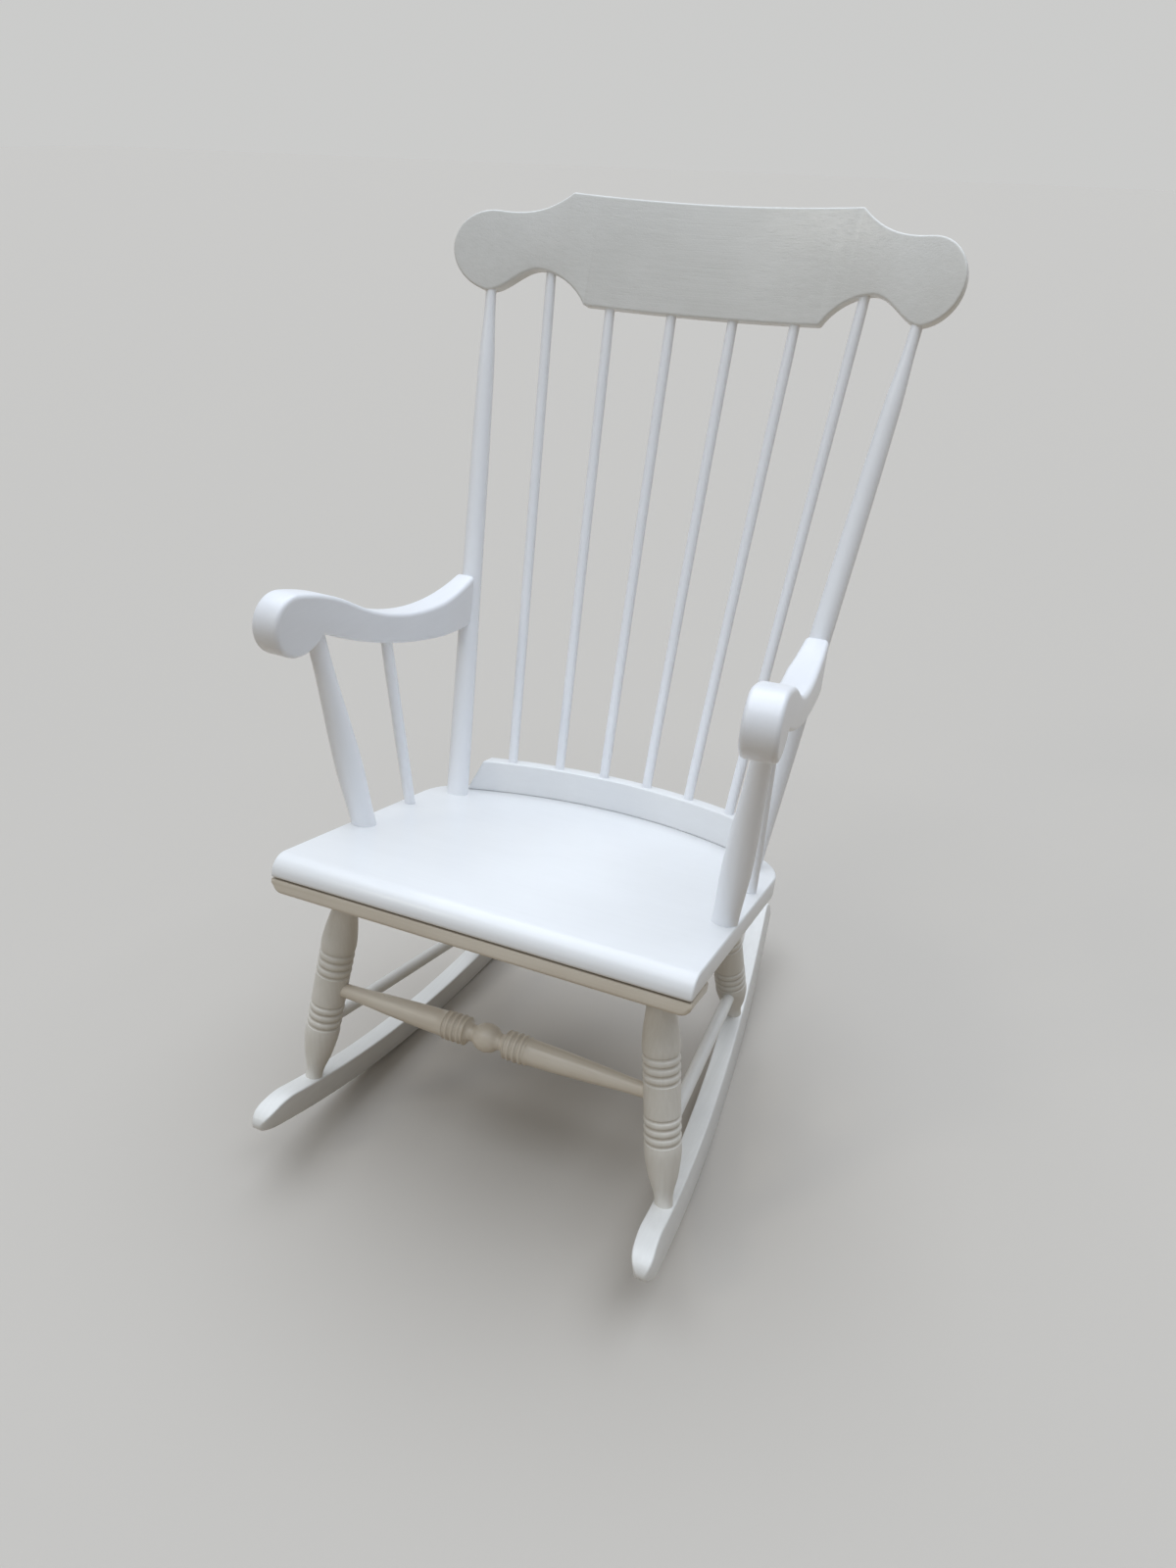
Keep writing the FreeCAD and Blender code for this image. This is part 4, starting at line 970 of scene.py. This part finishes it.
# %% [markdown]
# ## The crest
# The crest is the wide board across the top of the back, with a round ear at each end, a step down
# from its raised middle, and a cove on each side below. It could be cut from a box with booleans,
# but those leave ragged faces. So half of its outline is drawn with a compass and fair curves and
# mirrored, and the board is then bent to a long curve in plan, like the rail.

# %% Draw the crest's outline
CREST_HEIGHT, CREST_THICKNESS, CREST_TOP_HALF = 137.5, 20.0, 192.0
EAR_CENTRE, EAR_RADIUS, EAR_SWEEP = (282.8, 52.4), 50.8, math.radians(12)
SHOULDER, SHOULDER_LEAN = (226.5, 113.5), toward(math.radians(155))
COVE_SLOPE, TOP_SLOPE = toward(math.radians(61)), toward(math.radians(135))
OUTWARD, INWARD = (1.0, 0.0), (-1.0, 0.0)
ear_bottom = (EAR_CENTRE[0] + EAR_RADIUS * math.sin(EAR_SWEEP),
              EAR_CENTRE[1] - EAR_RADIUS * math.cos(EAR_SWEEP))
ear_side = (EAR_CENTRE[0] + EAR_RADIUS, EAR_CENTRE[1])
ear_top = (EAR_CENTRE[0], EAR_CENTRE[1] + EAR_RADIUS)
top_corner = (CREST_TOP_HALF, CREST_HEIGHT)
to_cove = fair_curve((CREST_BOTTOM_HALF, 0.0), COVE_SLOPE, CREST_COVE, OUTWARD, steps=12)
to_ear = fair_curve(CREST_COVE, OUTWARD, ear_bottom, toward(EAR_SWEEP), steps=16)
ear = arc_through(ear_bottom, ear_side, ear_top, steps=26)
to_shoulder = fair_curve(ear_top, INWARD, SHOULDER, SHOULDER_LEAN, steps=8)
to_top = fair_curve(SHOULDER, SHOULDER_LEAN, top_corner, TOP_SLOPE, steps=8)
half = to_cove + to_ear[1:] + ear[1:] + to_shoulder[1:] + to_top[1:]
outline = half + [(-x, up) for x, up in reversed(half)]
print("crest outline points:", len(outline))

# %% Saw the crest and bend it
CREST_SLICES = range(-325, 326, 10)
crest = start_piece("bent_crest_rail")
draw_line([(x, 0, up) for x, up in outline])
saw_out((0, CREST_THICKNESS, 0))
clean_up()
soften(crest, width=3.0, segments=4, angle=40)
bend(crest, CREST_SLICES, CREST_THICKNESS, crest_bow)
settle(crest, in_metres(crest_place))
hand_over(crest, "crest_rail", paint_crest)
print("crest faces:", len(crest.data.polygons))

# %% [markdown]
# ## Arms
# An arm is sawn from thick stock: a scroll that rolls under at the front, a hollow top that rises
# to the post, and a belly below. It could be sculpted, but a sawn arm has one clear side view. That
# is drawn with arcs and extruded to the arm's width, and the inner side is planed thinner near the
# post, which leaves a crease. The edges are rounded well, because hands rest on them.

# %% Draw the arm's side
SCROLL_RUN, SCROLL_UP, SCROLL_RADIUS = 355.0, 264.5, 36.6
ARM_DIP_RUN, ARM_END_TOP, ARM_END_BOTTOM = 151.0, 304.0, 235.0
ARM_BELLY_RUN, ARM_BELLY_UP = 150.0, 226.0
HEEL_RUN, HEEL_RISE = 44.7, 23.9


def level_radius(run, rise):
    """The radius of the arc that leaves level and rises so much over a run; negative where it falls."""
    return (run ** 2 + rise ** 2) / (2 * rise)


def level_middle(start, end):
    """The middle of the arc that leaves start level and goes to end."""
    run, rise = end[0] - start[0], end[1] - start[1]
    radius = level_radius(run, rise)
    turn = math.asin(run / radius) / 2
    return (start[0] + radius * math.sin(turn), start[1] + radius * (1 - math.cos(turn)))


scroll_top = (-SCROLL_RUN, SCROLL_UP + SCROLL_RADIUS)
scroll_bottom = (-SCROLL_RUN, SCROLL_UP - SCROLL_RADIUS)
crotch = (scroll_bottom[0] + HEEL_RUN, scroll_bottom[1] + HEEL_RISE)
fall = scroll_top[1] - ARM_DIP_UP
both_radii = level_radius(SCROLL_RUN - ARM_DIP_RUN, fall)
crown_radius = both_radii - level_radius(ARM_DIP_RUN, ARM_END_TOP - ARM_DIP_UP)
share = crown_radius / both_radii
turning = (-SCROLL_RUN + (SCROLL_RUN - ARM_DIP_RUN) * share,
           scroll_top[1] - crown_radius + (both_radii - fall) * share)
heel = arc_through(crotch, level_middle(scroll_bottom, crotch), scroll_bottom, steps=14)
scroll = arc_through(scroll_bottom, (-SCROLL_RUN - SCROLL_RADIUS, SCROLL_UP), scroll_top, steps=36)
crown = arc_through(scroll_top, level_middle(scroll_top, turning), turning, steps=14)
hollow = arc_through(turning, (-ARM_DIP_RUN, ARM_DIP_UP), (0.0, ARM_END_TOP), steps=22)
belly = arc_through((0.0, ARM_END_BOTTOM), (-ARM_BELLY_RUN, ARM_BELLY_UP), crotch, steps=24)
outline = heel + scroll[1:] + crown[1:] + hollow[1:] + belly[:-1]
print("arm outline points:", len(outline), "crown radius:", round(crown_radius), "mm")

# %% Saw the arm, plane its inner side and round its edges
ARM_WIDTH, ARM_CREASE_RUN, ARM_REAR_TRIM, AT_CREASE = 39.0, 73.0, 8.5, 0.5
arm = start_piece("sawn_arm_right")
draw_line([(-ARM_WIDTH, y, z) for y, z in outline])
saw_out((ARM_WIDTH, 0, 0))
planed_face = Vector((-ARM_CREASE_RUN, ARM_REAR_TRIM, 0)).normalized()
bpy.ops.mesh.select_all(action="SELECT")
bpy.ops.mesh.bisect(plane_co=(-ARM_WIDTH * MM, -ARM_CREASE_RUN * MM, 0), plane_no=planed_face,
                    use_fill=True, clear_outer=True)
creases = pick_edges(lambda middle, way: (abs(middle.y / MM + ARM_CREASE_RUN) < AT_CREASE
                                          and abs(way.z) > MOSTLY))
bpy.ops.mesh.mark_sharp()
clean_up()
soften(arm, width=6.0, segments=6, angle=50)
shade(arm, BOARD_CREASE)
settle(arm, in_metres(arm_place))
hand_over_pair(arm, "arm", paint_arm)
print("arm faces:", len(arm.data.polygons), "creases:", creases)

# %% [markdown]
# ## Screws, plugs and pins
# These are small and mostly hidden, and their CAD shapes are right, so they stay and only get a
# better finish. The plugs and the rocker pins are wood under the same paint. The screws are plain
# steel with fine lines from the die that rolled them.

# %% Finish the small parts
LINES_ALONG, LINES_ACROSS = 60.0, 2400.0
STEEL_NOISE, STEEL_ROUGHNESS = (0.3, 0.7), (0.28, 0.46)
DARK_STEEL, LIGHT_STEEL = (0.50, 0.50, 0.49, 1), (0.66, 0.65, 0.63, 1)
steel = bpy.data.materials.new("screw_steel_lines")
steel.use_nodes = True
tree = steel.node_tree
shader = tree.nodes["Principled BSDF"]
shader.inputs["Metallic"].default_value = 1.0
place = tree.nodes.new("ShaderNodeTexCoord").outputs["Object"]
lines = squeezed(tree, place, "x", LINES_ALONG, LINES_ACROSS)
rolled = add_noise(tree, lines, scale=1.0, detail=2.0, roughness=0.5)
tree.links.new(add_range(tree, rolled, STEEL_NOISE, STEEL_ROUGHNESS), shader.inputs["Roughness"])
tree.links.new(add_mix(tree, rolled, DARK_STEEL, LIGHT_STEEL), shader.inputs["Base Color"])
finishes = {"arm_screws": steel, "back_rail_screws": steel, "front_strip_screws": steel,
            "arm_screw_plugs": paint_upright, "rocker_pins": paint_rocker}
for node, finish in finishes.items():
    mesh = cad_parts[node].data
    mesh.materials.clear()
    mesh.materials.append(finish)
print("CAD nodes in view:", [name for name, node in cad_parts.items() if not node.hide_render])

# %% [markdown]
# ## Floor and light
# The chair stands on a plain pale floor that runs into a backdrop of the same tone. A single lamp
# would leave hard shade under the seat. So one wide soft lamp hangs almost overhead, as ceiling light
# does in a room, which makes the seat the brightest surface. A wide weak lamp in front is the window,
# and a small warm one gives the edges their glint. Light that bounces off the floor is warmer and
# darker than the floor looks, as from a wooden floor.

# %% Floor
FLOOR_SEEN, FLOOR_BOUNCE = (0.535, 0.50, 0.455, 1), (0.25, 0.188, 0.117, 1)
FLOOR_SIZE, FLOOR_ROUGHNESS = 60.0, 0.9


def seen_directly(tree):
    """1 for rays from the camera, in a reflection or through glass, and 0 for light that bounces."""
    path = tree.nodes.new("ShaderNodeLightPath")
    mirrored = add_math(tree, "MAXIMUM", path.outputs["Is Glossy Ray"], path.outputs["Is Transmission Ray"])
    return add_math(tree, "MAXIMUM", path.outputs["Is Camera Ray"], mirrored)


floor_paint = bpy.data.materials.new("pale_floor")
floor_paint.use_nodes = True
tree = floor_paint.node_tree
floor_shader = tree.nodes["Principled BSDF"]
floor_shader.inputs["Roughness"].default_value = FLOOR_ROUGHNESS
floor_colour = add_mix(tree, seen_directly(tree), FLOOR_BOUNCE, FLOOR_SEEN)
tree.links.new(floor_colour, floor_shader.inputs["Base Color"])
bpy.ops.object.select_all(action="DESELECT")
bpy.ops.mesh.primitive_plane_add(size=FLOOR_SIZE)
floor = bpy.context.object
floor.name = "pale_floor"
floor.data.materials.append(floor_paint)
print("floor:", FLOOR_SIZE, "m across")

# %% Lamps
def sun(name, direction, colour, strength, width):
    """A lamp far away in a direction; its width in degrees makes its shadows soft."""
    lamp = bpy.data.lights.new(name, "SUN")
    lamp.color = colour
    lamp.energy = strength
    lamp.angle = math.radians(width)
    holder = bpy.data.objects.new(name, lamp)
    bpy.context.scene.collection.objects.link(holder)
    holder.rotation_euler = Vector(direction).to_track_quat("Z", "Y").to_euler()


sun("ceiling_light", direction=(-0.05, 0.18, 1.0), colour=(0.855, 0.915, 1.0), strength=2.82, width=80)
sun("window_fill", direction=(0.05, -0.75, 0.66), colour=(0.90, 0.95, 1.0), strength=0.27, width=90)
sun("window_glint", direction=(-0.52, -0.60, 0.61), colour=(1.0, 0.95, 0.82), strength=0.20, width=10)
print("lamps:", [lamp.name for lamp in bpy.data.lights])

# %% World: a weak light all round, and a plain backdrop
ROOM_LIGHT, ROOM_STRENGTH = (0.86, 0.93, 1.0, 1), 0.22
BACKDROP = (0.600, 0.602, 0.595, 1)
world = bpy.data.worlds.new("studio")
bpy.context.scene.world = world
world.use_nodes = True
tree = world.node_tree
room = tree.nodes["Background"]
room.inputs["Color"].default_value = ROOM_LIGHT
room.inputs["Strength"].default_value = ROOM_STRENGTH
backdrop = tree.nodes.new("ShaderNodeBackground")
backdrop.inputs["Color"].default_value = BACKDROP
either = tree.nodes.new("ShaderNodeMixShader")
tree.links.new(seen_directly(tree), either.inputs["Fac"])
tree.links.new(room.outputs["Background"], either.inputs[1])
tree.links.new(backdrop.outputs["Background"], either.inputs[2])
tree.links.new(either.outputs["Shader"], tree.nodes["World Output"].inputs["Surface"])
print("world nodes:", len(tree.nodes))

# %% [markdown]
# ## The camera
# The photograph was taken from standing height, to the right of the chair and close to it, looking
# down. A long lens from further off would flatten it. A wide lens gives the strong perspective: the
# near arm and rocker look large. The place and the turn were found by matching the chair's corners
# to the photograph.

# %% Place the camera
SENSOR_HEIGHT, LENS = 36.0, 27.0
CAMERA_PLACE, CAMERA_TURN = (0.5281, -1.1906, 1.1773), (60.31, -1.24, 24.12)
camera = bpy.data.cameras.new("camera")
camera.sensor_fit = "VERTICAL"
camera.sensor_height = SENSOR_HEIGHT
camera.lens = LENS
stand = bpy.data.objects.new("camera", camera)
bpy.context.scene.collection.objects.link(stand)
stand.location = CAMERA_PLACE
stand.rotation_euler = [math.radians(angle) for angle in CAMERA_TURN]
bpy.context.scene.camera = stand
bpy.context.scene.view_settings.view_transform = "Standard"
print("camera at", tuple(stand.location))
